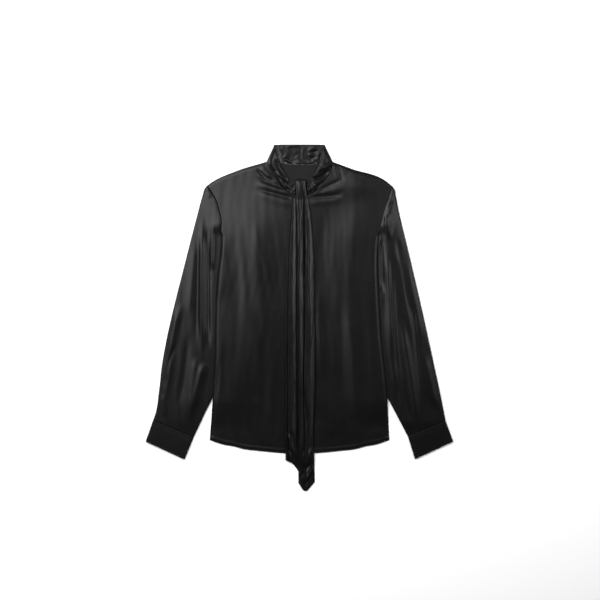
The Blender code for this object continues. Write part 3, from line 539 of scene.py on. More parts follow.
def patch(bottom, top, left, right, u, v):
    """x and y in the space between four boundary curves."""
    found = []
    for axis in (0, 1):
        low_left, low_right = bottom(0.0)[axis], bottom(1.0)[axis]
        high_left, high_right = top(0.0)[axis], top(1.0)[axis]
        between = (1 - v) * bottom(u)[axis] + v * top(u)[axis]
        across = (1 - u) * left(v)[axis] + u * right(v)[axis]
        corners = (1 - v) * ((1 - u) * low_left + u * low_right)
        corners = corners + v * ((1 - u) * high_left + u * high_right)
        found.append(between + across - corners)
    return found


def unit_grid(across, down):
    """Shares across and up a piece, as two arrays with a row for each line of points."""
    return np.meshgrid(np.linspace(0, 1, across + 1), np.linspace(0, 1, down + 1))


def cloth_mesh(name, x, y, z, closed=False):
    """A mesh through a grid of points, joined into a tube where it is closed."""
    rows, columns = x.shape
    points = np.stack((x, y, z), -1).reshape(-1, 3) * MM
    row = np.arange(rows - 1)[:, None] * columns
    column = np.arange(columns if closed else columns - 1)[None, :]
    beside = (column + 1) % columns
    corners = (row + column, row + beside, row + columns + beside, row + columns + column)
    faces = np.stack(corners, -1).reshape(-1, 4)
    mesh = bpy.data.meshes.new(name)
    mesh.from_pydata(points, [], faces.tolist())
    mesh.polygons.foreach_set("use_smooth", np.ones(len(faces), bool))
    mesh.update()
    return mesh


def add_cloth(name, node, mesh, slot):
    """A piece of cloth: a thin shell that stands for its solid."""
    mesh.materials.append(finish_material(slot))
    piece = bpy.data.objects.new(name, mesh)
    bpy.context.scene.collection.objects.link(piece)
    shell = piece.modifiers.new("shell", "SOLIDIFY")
    shell.thickness = bpy.context.scene.blouse_sizes.shell
    shell.offset = -1
    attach(piece, "root")
    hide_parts(node)


def linear(hex_colour):
    """A linear colour from an sRGB hex value."""
    values = [int(hex_colour[i : i + 2], 16) / 255 for i in (1, 3, 5)]
    return tuple(v / 12.92 if v <= 0.04045 else ((v + 0.055) / 1.055) ** 2.4 for v in values)


def add_node(tree, kind, settings=(), values=(), links=()):
    """A shader node with its settings, its sockets' values and its links."""
    node = tree.nodes.new(kind)
    for name, value in dict(settings).items():
        setattr(node, name, value)
    for name, value in dict(values).items():
        node.inputs[name].default_value = value
    for name, source in dict(links).items():
        tree.links.new(source, node.inputs[name])
    return node


Finish = namedtuple("Finish", "low high roughness roughness_spread sheen specular weave_depth "
                    "crinkle_depth")
WEAVE_MM = 1.1  # real satin has about 50 threads a cm; drawn coarser, so that it shows at all
WAVE_PERIOD = 0.314  # from band to band of the wave texture at a scale of 1
CRINKLE_MM = 9.0
TONE_MM = 70.0


def cloth_material(name, finish):
    """Woven cloth: a slow drift of tone, the weave's diagonal and the fine crinkle of handling."""
    made = bpy.data.materials.new(name)
    made.use_nodes = True
    tree = made.node_tree
    shader = tree.nodes["Principled BSDF"]
    shader.inputs["Metallic"].default_value = 0.0
    shader.inputs["IOR"].default_value = 1.54
    shader.inputs["Specular IOR Level"].default_value = finish.specular
    shader.inputs["Sheen Weight"].default_value = finish.sheen
    shader.inputs["Sheen Roughness"].default_value = 0.45
    place = add_node(tree, "ShaderNodeTexCoord").outputs["Object"]
    tone = add_node(tree, "ShaderNodeTexNoise", values={"Scale": 1 / (TONE_MM * MM), "Detail": 3.0},
                    links={"Vector": place})
    ramp = add_node(tree, "ShaderNodeValToRGB", links={"Fac": tone.outputs["Fac"]})
    ramp.color_ramp.elements[0].color = (*linear(finish.low), 1)
    ramp.color_ramp.elements[0].position = 0.3
    ramp.color_ramp.elements[1].color = (*linear(finish.high), 1)
    ramp.color_ramp.elements[1].position = 0.7
    tree.links.new(ramp.outputs["Color"], shader.inputs["Base Color"])
    grain = add_node(tree, "ShaderNodeTexNoise", values={"Scale": 1 / (CRINKLE_MM * MM), "Detail": 1.5},
                     links={"Vector": place})
    polish = add_node(tree, "ShaderNodeMapRange",
                      values={"To Min": finish.roughness - finish.roughness_spread,
                              "To Max": finish.roughness + finish.roughness_spread},
                      links={"Value": grain.outputs["Fac"]})
    tree.links.new(polish.outputs["Result"], shader.inputs["Roughness"])
    twill = add_node(tree, "ShaderNodeTexWave", settings={"bands_direction": "DIAGONAL"},
                     values={"Scale": WAVE_PERIOD / (WEAVE_MM * MM), "Distortion": 0.6},
                     links={"Vector": place})
    weave = add_node(tree, "ShaderNodeBump",
                     values={"Strength": 0.5, "Distance": finish.weave_depth * MM},
                     links={"Height": twill.outputs["Fac"]})
    crinkle = add_node(tree, "ShaderNodeBump",
                       values={"Strength": 1.0, "Distance": finish.crinkle_depth * MM},
                       links={"Height": grain.outputs["Fac"], "Normal": weave.outputs["Normal"]})
    tree.links.new(crinkle.outputs["Normal"], shader.inputs["Normal"])
    return made


# Silk satin, piece-dyed black: long floats that lie flat give a broad soft shine.
SATIN = Finish("#0a090a", "#0f0e0f", 0.33, 0.03, 0.0, 0.13, 0.004, 0.03)
# The same satin, doubled over interfacing and pressed: flatter, with less shine.
SATIN_PRESSED = Finish("#080808", "#0c0b0c", 0.42, 0.03, 0.0, 0.09, 0.004, 0.01)
# The wrong side of the satin: short floats, so it is dull and a little paler.
SATIN_REVERSE = Finish("#101010", "#141314", 0.7, 0.03, 0.0, 0.12, 0.01, 0.02)
# Spun polyester sewing thread, black: round and slightly glossy.
THREAD = Finish("#1d1b1d", "#242123", 0.5, 0.05, 0.2, 0.5, 0.01, 0.02)
FINISHES = {"satin": SATIN, "satin_pressed": SATIN_PRESSED, "satin_reverse": SATIN_REVERSE,
            "thread": THREAD}


def finish_material(name):
    """The cloth or thread of that name, made the first time it is asked for."""
    full_name = "blouse_" + name
    return bpy.data.materials.get(full_name) or cloth_material(full_name, FINISHES[name])


class BlouseSizes(bpy.types.PropertyGroup):
    """Sizes that a user would change."""

    shell: bpy.props.FloatProperty(
        name="Cloth shell", description="Thickness of the cloth that shows", default=0.0006,
        min=0.0002, max=0.0012, subtype="DISTANCE", unit="LENGTH")
    stitch: bpy.props.FloatProperty(
        name="Stitch", description="Length of one stitch", default=0.0026,
        min=0.001, max=0.006, subtype="DISTANCE", unit="LENGTH")
    stitch_gap: bpy.props.FloatProperty(
        name="Stitch gap", description="Gap between two stitches", default=0.0014,
        min=0.0005, max=0.004, subtype="DISTANCE", unit="LENGTH")
    thread: bpy.props.FloatProperty(
        name="Thread", description="Thickness of the sewing thread", default=0.0005,
        min=0.0002, max=0.001, subtype="DISTANCE", unit="LENGTH")


class BlouseLights(bpy.types.PropertyGroup):
    """Colours and strengths of the studio."""

    floor: bpy.props.FloatVectorProperty(
        name="Floor", description="Colour of the floor", subtype="COLOR", size=3,
        default=linear("#fafafa"), min=0, max=1)
    key: bpy.props.FloatProperty(
        name="Key light", description="Power of the large softbox, upper left", default=68.0,
        min=0, unit="POWER")
    fill: bpy.props.FloatProperty(
        name="Fill light", description="Power of the softbox on the right", default=17.0,
        min=0, unit="POWER")
    ambient: bpy.props.FloatProperty(
        name="Ambient", description="Strength of the light from all round", default=0.22, min=0)


def body_outline(side):
    """The body's side as a curve of shares up it."""
    low, high = BODY_EDGE[side][0][0], BODY_EDGE[side][-1][0]

    def point(v):
        y = low + v * (high - low)
        return edge_x(side, y), y

    return point


class BLOUSE_OT_back(bpy.types.Operator):
    """Lays the back panel"""

    bl_idname = "blouse.back"
    bl_label = "Back"

    def execute(self, context):
        left, right = BODY_EDGE[LEFT], BODY_EDGE[RIGHT]

        def top(u):
            x = -left[-1][1] + u * (left[-1][1] + right[-1][1])
            out = np.abs(x)
            shoulder = np.where(x < 0, through(SHOULDER[LEFT], out), through(SHOULDER[RIGHT], out))
            return x, np.where(out < NECK_OUT, through(BACK_NECK, out), shoulder)

        def bottom(u):
            x = -left[0][1] + u * (left[0][1] + right[0][1])
            return x, through(HEM, np.abs(x))

        u, v = unit_grid(*BACK_CELLS)
        x, y = patch(bottom, top, body_outline(LEFT), body_outline(RIGHT), u, v)
        mesh = cloth_mesh("back", x, y, body_lift(x, y) + CLOTH)
        add_cloth("back_panel", "back", mesh, "satin_reverse")
        return {"FINISHED"}


class BLOUSE_OT_fronts(bpy.types.Operator):
    """Lays the two fronts over the back"""

    bl_idname = "blouse.fronts"
    bl_label = "Fronts"

    def execute(self, context):
        for side in (RIGHT, LEFT):
            self.lay(side)
        return {"FINISHED"}

    def lay(self, side):
        """One front, from its side to its centre edge."""
        edge = BODY_EDGE[side]
        inner = -side * HALF_OVERLAP

        # the top border is spaced by its length, so that no cell is sheared beside the neckline
        top_x = np.linspace(side * edge[-1][1], inner, 600)
        out = side * top_x
        neck = through(NECKLINE[side], np.maximum(out, 0))
        top_y = np.where(out > NECKLINE[side][-1][0], through(SHOULDER[side], out), neck)
        runs = np.r_[0, np.cumsum(np.hypot(np.diff(top_x), np.diff(top_y)))]

        def top(u):
            return np.interp(u, runs / runs[-1], top_x), np.interp(u, runs / runs[-1], top_y)

        def bottom(u):
            x = side * edge[0][1] + u * (inner - side * edge[0][1])
            return x, through(HEM, np.abs(x))

        centre_low, centre_high = bottom(1.0)[1], top(1.0)[1]

        def centre(v):
            return inner + 0 * v, centre_low + v * (centre_high - centre_low)

        u, v = unit_grid(*FRONT_CELLS)
        share = u if side == LEFT else 1 - u
        x, y = patch(bottom, top, body_outline(side), centre, share, v)
        name = "front_" + SIDE_NAMES[side]
        mesh = cloth_mesh(name, x, y, front_top(x, y, side))
        add_cloth(name + "_panel", name, mesh, "satin")


def tube_grid(outer, inner, bulge, height, field, top_steps):
    """Rings of a tube laid flat. outer and inner are x and y arrays with a value for each ring."""
    half = height / 2
    margin = (PRESSED * half / np.hypot(outer[0] - inner[0], outer[1] - inner[1]))[:, None]
    angles = np.radians(np.linspace(90, -90, TUBE_ROUND + 2)[1:-1])[None, :]
    lead = np.linspace(0, 1, top_steps)[None, :]
    under = np.linspace(1, 0, TUBE_UNDER)[None, :]
    shares = np.concatenate((
        margin + lead * (1 - 2 * margin),
        1 - margin + margin * np.cos(angles),
        margin + under * (1 - 2 * margin),
        margin - margin * np.cos(angles[:, ::-1]),
    ), axis=1)
    x = outer[0][:, None] + shares * (inner[0] - outer[0])[:, None] + bulge(shares)
    y = outer[1][:, None] + shares * (inner[1] - outer[1])[:, None]
    top = slice(0, top_steps)
    z = np.concatenate((
        height + field(x[:, top], y[:, top]),
        half + half * np.sin(angles) + 0 * margin,
        0 * margin + 0 * under,
        half + half * np.sin(angles[:, ::-1]) + 0 * margin,
    ), axis=1)
    return x, y, z


def sleeve_edges(side, share):
    """The outer and the inner points of a sleeve at shares of its length."""
    cuff_outer, cuff_inner = CUFF_TOP[side]
    table = SLEEVE_EDGE[side]
    spread = CAP_START + (1 - CAP_START) * np.minimum(1.0, share / CAP_SHARE)
    closer = np.where(share < CAP_SHARE, share * spread, share)
    y = table[-1][0] + closer * (cuff_outer[1] - table[-1][0])
    outer = (side * through(table, y), y)
    hidden = (UNDERARM_Y - CROTCH_Y) / (UNDERARM_Y - cuff_inner[1])
    tucked_y = UNDERARM_Y + np.minimum(share / hidden, 1) * (CROTCH_Y - UNDERARM_Y)
    rest = np.clip((share - hidden) / (1 - hidden), 0, 1)
    inner_x = tucked_x(side, tucked_y)
    inner_x = inner_x + rest * (side * cuff_inner[0] - inner_x)
    return outer, (inner_x, tucked_y + rest * (cuff_inner[1] - tucked_y))


def sleeve_field(x, y, side):
    """Height over a sleeve's flat top: its folds, its seam, its fuller cap and its crown."""
    from_body = np.abs(x) - np.abs(edge_x(side, np.maximum(y, CROTCH_Y)))
    from_edge = through(SLEEVE_EDGE[side], y) - np.abs(x)
    clear = np.maximum(ease((from_body - 1) / SLEEVE_CLEAR), ease((CROTCH_Y - y) / CROTCH_RUN))
    clear = clear * ease(from_edge / SLEEVE_EDGE_RUN)
    folds = crease_height(SLEEVE_CREASES[side], x, y) + ripples(x, y, SLEEVE_RIPPLES, side)
    armhole = groove(from_body - SIDE_GAP, SEAM_DIP) * ease((y - ARMHOLE_Y) / ARMHOLE_BLEND)
    cap = LIFT * ease((LIFT_TOP - y) / LIFT_TOP_RUN) * ease((y - CAP_LOW) / CAP_LOW_RUN)
    cap = cap * (1 - ease((from_body - CAP_BESIDE) / CAP_BESIDE_RUN))
    across = np.clip(from_body / np.maximum(from_body + from_edge, 1), 0, 1)
    crown = SLEEVE_CROWN[side] * np.sin(np.pi * across) * ease((y - CROWN_LOW) / CROWN_LOW_RUN)
    return np.maximum(folds * clear, SLEEVE_TROUGH) + armhole + cap + crown


class BLOUSE_OT_sleeves(bpy.types.Operator):
    """Lays the two sleeves beside the body, partly under it"""

    bl_idname = "blouse.sleeves"
    bl_label = "Sleeves"

    def execute(self, context):
        for side in (LEFT, RIGHT):
            self.lay(side)
        return {"FINISHED"}

    def lay(self, side):
        """One sleeve, from its cap to its cuff."""
        rings = np.linspace(0, 1, RINGS)
        outer, inner = sleeve_edges(side, rings)
        start, end = (outer[0][0], outer[1][0]), (inner[0][0], inner[1][0])
        fade = ((1 - np.minimum(1.0, rings / CAP_FADE)) ** 2)[:, None]

        def bulge(shares):
            y = start[1] + shares * (end[1] - start[1])
            return fade * (tucked_x(side, y) - (start[0] + shares * (end[0] - start[0])))

        def field(x, y):
            return sleeve_field(x, y, side)

        x, y, z = tube_grid(outer, inner, bulge, TUBE_HEIGHT, field, TUBE_TOP)
        name = "sleeve_" + SIDE_NAMES[side]
        mesh = turned_out(cloth_mesh(name, x, y, z, closed=True), side)
        add_cloth(name + "_tube", name, mesh, "satin")


def turned_out(mesh, side):
    """The same tube with its faces turned outwards."""
    if side == RIGHT:
        mesh.flip_normals()
    return mesh


class BLOUSE_OT_cuffs(bpy.types.Operator):
    """Makes the pressed cuffs"""

    bl_idname = "blouse.cuffs"
    bl_label = "Cuffs"

    def execute(self, context):
        for side in (LEFT, RIGHT):
            self.make(side)
        return {"FINISHED"}

    def make(self, side):
        """One cuff, from the sleeve's end to its free end."""
        share = np.linspace(0, 1, CUFF_RINGS)
        ends = []
        for top, end in zip(CUFF_TOP[side], CUFF_END[side]):
            top, end = np.array(top), np.array(end)
            top = top + SEAM_GAP * (end - top) / np.hypot(*(end - top))
            ends.append((side * (top[0] + share * (end[0] - top[0])), top[1] + share * (end[1] - top[1])))

        def field(x, y):
            down = cuff_place(side, x, y)
            rows = [groove(down - line, SEAM_DIP) for line in cuff_lines(side)]
            return sum(rows) + ripples(x, y, CUFF_RIPPLES, side)

        x, y, z = tube_grid(*ends, lambda shares: 0, CUFF_HEIGHT, field, CUFF_TOP_POINTS)
        name = "cuff_" + SIDE_NAMES[side]
        mesh = turned_out(cloth_mesh(name, x, y, z, closed=True), side)
        add_cloth(name + "_band", name, mesh, "satin_pressed")


def cuff_frame(side):
    """The cuff's top outer corner, and its directions across and down."""
    outer = np.array(CUFF_TOP[side][0]) * (side, 1)
    inner = np.array(CUFF_TOP[side][1]) * (side, 1)
    across = (inner - outer) / np.hypot(*(inner - outer))
    down = np.array((-across[1], across[0])) * (1 if -across[1] * side > 0 else -1)
    return outer, across, down if down[1] < 0 else -down


def cuff_place(side, x, y):
    """Distance down from the cuff's top."""
    outer, across, down = cuff_frame(side)
    return (x - outer[0]) * down[0] + (y - outer[1]) * down[1]


def cuff_lines(side):
    """Distances of the rows of stitches down from the cuff's top."""
    end = np.array(CUFF_END[side][0]) * (side, 1)
    return (*CUFF_LINES, cuff_place(side, end[0], end[1]) - CUFF_EDGE_LINE)


class BLOUSE_OT_collar(bpy.types.Operator):
    """Makes the stand collar's back and its two gathered front parts"""

    bl_idname = "blouse.collar"
    bl_label = "Collar"

    def execute(self, context):
        self.make_back()
        for side in (LEFT, RIGHT):
            self.make_front(side)
        return {"FINISHED"}

    def make_back(self):
        """The back part, whose inside shows."""

        def foot(u):
            x = (2 * u - 1) * COLLAR_FOOT_OUT
            return x, through(BACK_NECK, np.abs(x)) + SIDE_GAP

        def top(u):
            return (2 * u - 1) * COLLAR_TOP_OUT, COLLAR_TOP_Y + 0 * u

        def side_line(side):
            low = (side * COLLAR_FOOT_OUT, through(BACK_NECK, COLLAR_FOOT_OUT) + SIDE_GAP)
            high = (side * COLLAR_TOP_OUT, COLLAR_TOP_Y)
            return lambda v: (low[0] + v * (high[0] - low[0]), low[1] + v * (high[1] - low[1]))

        u, v = unit_grid(*COLLAR_BACK_CELLS)
        x, y = patch(foot, top, side_line(LEFT), side_line(RIGHT), u, v)
        clear = ease((COLLAR_CLEAR_OUT - np.abs(x)) / COLLAR_CLEAR_RUN)
        folds = crease_height(COLLAR_INSIDE, x, y) + COLLAR_CREST + ripples(x, y, COLLAR_RIPPLES)
        lip = COLLAR_LIP * np.exp(-((v / COLLAR_LIP_SHARE) ** 2)) * clear
        lean = COLLAR_LEAN * ease(v / 0.9) * clear
        z = CLOTH + np.maximum(folds * clear, COLLAR_DEEPEST["back"]) + lip + lean
        mesh = cloth_mesh("collar_back", x, y, z)
        add_cloth("collar_back_band", "collar_back", mesh, "satin")

    def make_front(self, side):
        """One front part, gathered into rolls from the side fold to the tie."""
        u, v = unit_grid(*COLLAR_FRONT_CELLS)
        share = u if side == LEFT else 1 - u
        seam, edge = along(COLLAR_SEAM[side], share), along(COLLAR_EDGE[side], share)
        x = seam[0] + v * (edge[0] - seam[0])
        y = seam[1] + v * (edge[1] - seam[1])
        inwards = ease(share / COLLAR_FOLD_SHARE)
        at_seam = CLOTH + SEAM_GAP + AIR * inwards
        high = COLLAR_LOW + (COLLAR_HIGH - COLLAR_LOW) * inwards
        rolls = crease_height(COLLAR_CREASES[side], x, y) * ease(v / 0.1)
        rim = RIM_DROP * ease((v - 1 + RIM_SHARE) / RIM_SHARE)
        rim = rim + FOOT_DIP * inwards * np.exp(-((v / RIM_SHARE) ** 2))
        rolls = np.maximum(rolls, COLLAR_DEEPEST["front"]) * inwards
        z = at_seam + (high - at_seam) * ease(v / 0.8) + rolls + rim + CLOTH
        name = "collar_front_" + SIDE_NAMES[side]
        mesh = cloth_mesh(name, x, y, z)
        add_cloth(name + "_band", name, mesh, "satin")


def fold_grid(stations, folds, u, y):
    """x and height of a tie end at u across and y down it, with round crests and sharp valleys."""
    lines = len(folds) - 1
    position = u * lines
    which = np.minimum(position.astype(int), lines - 1)
    t = position - which
    xs = np.stack([through(tuple(zip(stations, fold.x)), y) for fold in folds])
    heights = np.stack([through(tuple(zip(stations, fold.height)), y) for fold in folds])

    def pick(values, k):
        return np.take_along_axis(values, k[None], 0)[0]

    x = pick(xs, which) + t * (pick(xs, which + 1) - pick(xs, which))
    rise = pick(heights, which + 1) - pick(heights, which)
    turn = np.pi / 2 * t
    return x, pick(heights, which) + rise * np.where(rise > 0, np.sin(turn), 1 - np.cos(turn))


def bed_height(y):
    """Under the tie ends: the front, and past the hem the surface below."""
    return TIE_BED * (1 - ease((DROP_FROM - y) / DROP_OVER))


def neck_roll(u, row):
    """x, y and underside of the upper end where it rolls out of the neck, by row of NECK_ROLL."""
    last = len(NECK_ROLL) - 1
    columns = [tuple((i, line[k]) for i, line in enumerate(NECK_ROLL)) for k in range(4)]
    x_top, h_top = fold_grid(OVER_STATIONS, OVER_FOLDS, u, 0.0 * u + NECK_ROLL[-1][0])
    across = (x_top - x_top[0, 0]) / (x_top[0, -1] - x_top[0, 0])
    y, under, low, high = (through(column, row) for column in columns)
    shown = (ROLL_START + (1 - ROLL_START) * row / last) * ease((row - 2) / 3)
    ridges = ROLL_RIDGE * np.maximum((h_top - ROLL_FROM) * shown, 0)
    return low + across * (high - low), y, under + ridges


class BLOUSE_OT_tie(bpy.types.Operator):
    """Makes the tie's crossing and its two pleated ends"""

    bl_idname = "blouse.tie"
    bl_label = "Tie"

    def execute(self, context):
        self.make_knot()
        self.make_under()
        self.make_over()
        return {"FINISHED"}

    def make_knot(self):
        """The band that crosses at the throat."""
        u, v = unit_grid(*KNOT_CELLS)
        foot, head = along(KNOT_FOOT, u), along(KNOT_HEAD, u)
        x = foot[0] + v * (head[0] - foot[0])
        y = foot[1] + v * (head[1] - foot[1])
        crown = through(KNOT_RIDGES, u) - KNOT_FOOT_DIP * (1 - ease(v / 0.35))
        crown = crown - KNOT_HEAD_DIP * (1 - ease((1 - v) / 0.3))
        z = np.maximum(crown, CLOTH + SEAM_GAP) + CLOTH + ripples(x, y, KNOT_RIPPLES)
        mesh = cloth_mesh("tie_knot", x, y, z)
        add_cloth("tie_knot_band", "tie_knot", mesh, "satin")

    def make_under(self):
        """The shorter end, under the other."""
        u, v = unit_grid(*UNDER_CELLS)
        x_end = fold_grid(UNDER_STATIONS, UNDER_FOLDS, u, 0.0 * u + UNDER_STATIONS[-1])[0]
        tip = through(UNDER_TIP, x_end)
        body_v = (v - UNDER_TIP_SHARE) / (1 - UNDER_TIP_SHARE)
        y_body = UNDER_END_Y + body_v * (UNDER_STATIONS[0] - UNDER_END_Y)
        y_tip = tip + v / UNDER_TIP_SHARE * (UNDER_END_Y - tip)
        y = np.where(v > UNDER_TIP_SHARE, y_body, y_tip)
        x, height = fold_grid(UNDER_STATIONS, UNDER_FOLDS, u, y)
        height = np.maximum(height + crease_height(TIE_CREASES, x, y), 0)
        z = bed_height(y) + height + CLOTH + ripples(x, y, UNDER_RIPPLES)
        mesh = cloth_mesh("tie_end_under", x, y, z)
        add_cloth("tie_end_under_cloth", "tie_end_under", mesh, "satin")

    def make_over(self):
        """The longer end, which rolls out of the neck and falls on top."""
        u = np.linspace(0, 1, OVER_COLUMNS)[None, :]
        tip_x = fold_grid(OVER_STATIONS, OVER_FOLDS, u, 0.0 * u + OVER_STATIONS[-1])[0]
        tip_y = through(OVER_TIP, tip_x)
        down = np.linspace(0, 1, OVER_TIP_ROWS + 1)[1:, None]
        y_tip = OVER_END_Y + down * (tip_y - OVER_END_Y)
        top_y = NECK_ROLL[-1][0]
        y_body = np.linspace(top_y, OVER_END_Y, OVER_BODY_ROWS)[:, None] + 0 * u
        y_low = np.concatenate((y_body, y_tip))
        u_low = u + 0 * y_low
        x_low, height = fold_grid(OVER_STATIONS, OVER_FOLDS, u_low, y_low)
        height = np.maximum(height + crease_height(TIE_CREASES, x_low, y_low), 0)
        z_low = bed_height(y_low) + height

        last = len(NECK_ROLL) - 1
        x_roll, y_roll, z_roll = neck_roll(u, np.linspace(0, last, OVER_ROLL_ROWS)[:-1, None] + 0 * u)
        z_seam = neck_roll(u, 0.0 * u + last)[2]
        blend = ease((y_low - (top_y - ROLL_BLEND)) / ROLL_BLEND)
        z_low = z_low + blend * (z_seam - z_low)
        x = np.concatenate((x_roll, x_low))[::-1]
        y = np.concatenate((y_roll, y_low))[::-1]
        z = np.concatenate((z_roll, z_low))[::-1] + CLOTH
        z = z + ripples(x, y, OVER_RIPPLES)
        mesh = cloth_mesh("tie_end_over", x, y, z)
        add_cloth("tie_end_over_cloth", "tie_end_over", mesh, "satin")


def stitch_points(middle, radius):
    """Rings of points round one stitch, slimmer at its ends."""
    ahead = middle[-1] - middle[0]
    ahead /= np.linalg.norm(ahead)
    beside = np.cross(ahead, (0, 0, 1))
    upwards = np.cross(beside, ahead)
    points = []
    for centre, girth in zip(middle, STITCH_GIRTHS):
        for angle in np.radians(np.arange(STITCH_SIDES) * 360 / STITCH_SIDES):
            points.append(centre + girth * radius * (np.cos(angle) * beside + np.sin(angle) * upwards))
    return points


def stitch_faces(base):
    """Faces of one stitch whose points start at a number: its sides and its two ends."""
    sides, last = STITCH_SIDES, base + STITCH_SIDES * (len(STITCH_GIRTHS) - 1)
    faces = []
    for ring in range(base, last, sides):
        for i in range(sides):
            near, other = ring + i, ring + (i + 1) % sides
            faces.append((near, near + sides, other + sides, other))
    faces.append([base + i for i in range(sides)])
    faces.append([last + i for i in reversed(range(sides))])
    return faces


def stitch_mesh(name, lines, sizes):
    """Rows of short stitches along lines of points, as one mesh."""
    length, gap, radius = sizes.stitch / MM, sizes.stitch_gap / MM, sizes.thread / MM / 2
    points, faces = [], []
    for line in lines:
        line = np.array(line)
        runs = np.r_[0, np.cumsum(np.linalg.norm(np.diff(line, axis=0), axis=1))]
        for start in np.arange(gap, runs[-1] - length, length + gap):
            places = start + length * np.array(STITCH_ENDS)
            middle = np.stack([np.interp(places, runs, column) for column in line.T], -1)
            faces.extend(stitch_faces(len(points)))
            points.extend(stitch_points(middle, radius))
    mesh = bpy.data.meshes.new(name)
    mesh.from_pydata(np.array(points) * MM, [], faces)
    mesh.polygons.foreach_set("use_smooth", np.ones(len(faces), bool))
    mesh.update()
    return mesh


def add_stitching(name, lines):
    """Stitches that ride with the blouse."""
    mesh = stitch_mesh(name, lines, bpy.context.scene.blouse_sizes)
    mesh.materials.append(finish_material("thread"))
    piece = bpy.data.objects.new(name, mesh)
    bpy.context.scene.collection.objects.link(piece)
    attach(piece, "root")


class BLOUSE_OT_stitching(bpy.types.Operator):
    """Sews the hem, the shoulders and the cuffs"""

    bl_idname = "blouse.stitching"
    bl_label = "Stitching"

    def execute(self, context):
        for side in (LEFT, RIGHT):
            self.sew_front(side)
            self.sew_cuff(side)
        return {"FINISHED"}

    def sew_front(self, side):
        """A row along the turned hem and one beside the shoulder seam."""
        hem_out = np.linspace(*HEM_STITCHES_OUT, 160)
        seam_out = np.linspace(*SHOULDER_STITCHES_OUT, 120)
        rows = ((side * hem_out, through(HEM, hem_out) + HEM_TURN + BESIDE_SEAM),
                (side * seam_out, through(SHOULDER[side], seam_out) - SHOULDER_SEAM - BESIDE_SEAM))
        lines = [np.stack((x, y, front_top(x, y, side)), -1) for x, y in rows]
        add_stitching("front_stitches_" + SIDE_NAMES[side], lines)

    def sew_cuff(self, side):
        """Two rows below the cuff's top and one above its free end."""
        outer, across, down = cuff_frame(side)
        width = np.hypot(*(np.array(CUFF_TOP[side][0]) - CUFF_TOP[side][1]))
        share = np.linspace(*CUFF_STITCHES, 60)[:, None]
        lines = []
        for line in cuff_lines(side):
            points = outer + line * down + share * width * across
            lines.append(np.c_[points, np.full(len(points), CUFF_HEIGHT - 0.1)])
        add_stitching("cuff_stitches_" + SIDE_NAMES[side], lines)


def add_softbox(name, place, size, power):
    """A square area light that faces the middle of the blouse."""
    light = bpy.data.lights.new(name, "AREA")
    light.shape = "SQUARE"
    light.size = size
    light.energy = power
    lamp = bpy.data.objects.new(name, light)
    bpy.context.scene.collection.objects.link(lamp)
    lamp.location = place
    lamp.rotation_euler = (Vector((0, 0, 0)) - Vector(place)).to_track_quat("-Z", "Y").to_euler()


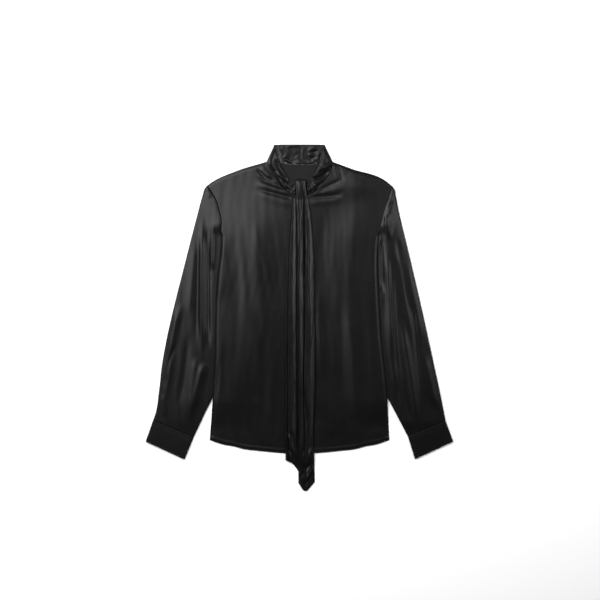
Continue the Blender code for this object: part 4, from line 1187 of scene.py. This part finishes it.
class BLOUSE_OT_stage(bpy.types.Operator):
    """Sets the floor, the lights and the camera"""

    bl_idname = "blouse.stage"
    bl_label = "Floor, lights and camera"

    def execute(self, context):
        scene, lights = context.scene, context.scene.blouse_lights
        self.add_floor(scene, lights)
        add_softbox("key_softbox", KEY_PLACE, KEY_SIZE, lights.key)
        add_softbox("fill_softbox", FILL_PLACE, FILL_SIZE, lights.fill)
        self.add_surroundings(scene, lights)
        camera = bpy.data.objects.new("camera", bpy.data.cameras.new("camera"))
        scene.collection.objects.link(camera)
        camera.data.sensor_width = SENSOR
        camera.data.lens = SENSOR * CAMERA_HEIGHT / VIEW_WIDTH
        camera.location = (PHOTO_CENTRE[0] * MM, PHOTO_CENTRE[1] * MM, CAMERA_HEIGHT)
        scene.camera = camera
        scene.view_settings.view_transform = "Standard"
        return {"FINISHED"}

    def add_surroundings(self, scene, lights):
        """A dark ceiling with white walls round it, which light the floor and the folds' flanks."""
        world = bpy.data.worlds.new("studio")
        world.use_nodes = True
        tree = world.node_tree
        place = add_node(tree, "ShaderNodeTexCoord").outputs["Generated"]
        height = add_node(tree, "ShaderNodeSeparateXYZ", links={"Vector": place})
        ramp = add_node(tree, "ShaderNodeValToRGB", links={"Fac": height.outputs["Z"]})
        ramp.color_ramp.elements[0].color = (1, 1, 1, 1)
        ramp.color_ramp.elements[0].position = WALL_TOP
        ramp.color_ramp.elements[1].color = (*CEILING, 1)
        ramp.color_ramp.elements[1].position = CEILING_EDGE
        background = tree.nodes["Background"]
        background.inputs["Strength"].default_value = lights.ambient
        tree.links.new(ramp.outputs["Color"], background.inputs["Color"])
        scene.world = world

    def add_floor(self, scene, lights):
        """A wide sheet of pale paper, just under the blouse."""
        mesh = bpy.data.meshes.new("floor")
        corners = [(x * FLOOR_REACH, y * FLOOR_REACH, -FLOOR_DROP * MM)
                   for x, y in ((-1, -1), (1, -1), (1, 1), (-1, 1))]
        mesh.from_pydata(corners, [], [(0, 1, 2, 3)])
        floor = bpy.data.objects.new("floor", mesh)
        scene.collection.objects.link(floor)
        paper = bpy.data.materials.new("background_paper")
        paper.use_nodes = True
        shader = paper.node_tree.nodes["Principled BSDF"]
        shader.inputs["Base Color"].default_value = (*lights.floor, 1)
        shader.inputs["Roughness"].default_value = 0.9
        mesh.materials.append(paper)


class BLOUSE_PT_panel(bpy.types.Panel):
    """The blouse's sizes, lights and steps"""

    bl_idname = "BLOUSE_PT_panel"
    bl_label = "Tie Neck Blouse"
    bl_space_type = "VIEW_3D"
    bl_region_type = "UI"
    bl_category = "Blouse"

    def draw(self, context):
        for group in (context.scene.blouse_sizes, context.scene.blouse_lights):
            for name in group.__annotations__:
                self.layout.prop(group, name)
        for operator in OPERATORS:
            self.layout.operator(operator.bl_idname)


OPERATORS = (BLOUSE_OT_back, BLOUSE_OT_fronts, BLOUSE_OT_sleeves, BLOUSE_OT_cuffs, BLOUSE_OT_collar,
             BLOUSE_OT_tie, BLOUSE_OT_stitching, BLOUSE_OT_stage)
CLASSES = (BlouseSizes, BlouseLights, *OPERATORS, BLOUSE_PT_panel)


def register():
    """Adds the classes and the blouse's settings to Blender."""
    for cls in CLASSES:
        bpy.utils.register_class(cls)
    bpy.types.Scene.blouse_sizes = bpy.props.PointerProperty(type=BlouseSizes)
    bpy.types.Scene.blouse_lights = bpy.props.PointerProperty(type=BlouseLights)


def unregister():
    """Takes them out again."""
    del bpy.types.Scene.blouse_lights
    del bpy.types.Scene.blouse_sizes
    for cls in reversed(CLASSES):
        bpy.utils.unregister_class(cls)


def main():
    """Builds the blouse and its stage."""
    register()
    bpy.ops.blouse.back()
    bpy.ops.blouse.fronts()
    bpy.ops.blouse.sleeves()
    bpy.ops.blouse.cuffs()
    bpy.ops.blouse.collar()
    bpy.ops.blouse.tie()
    bpy.ops.blouse.stitching()
    bpy.ops.blouse.stage()


if __name__ == "__main__":
    main()
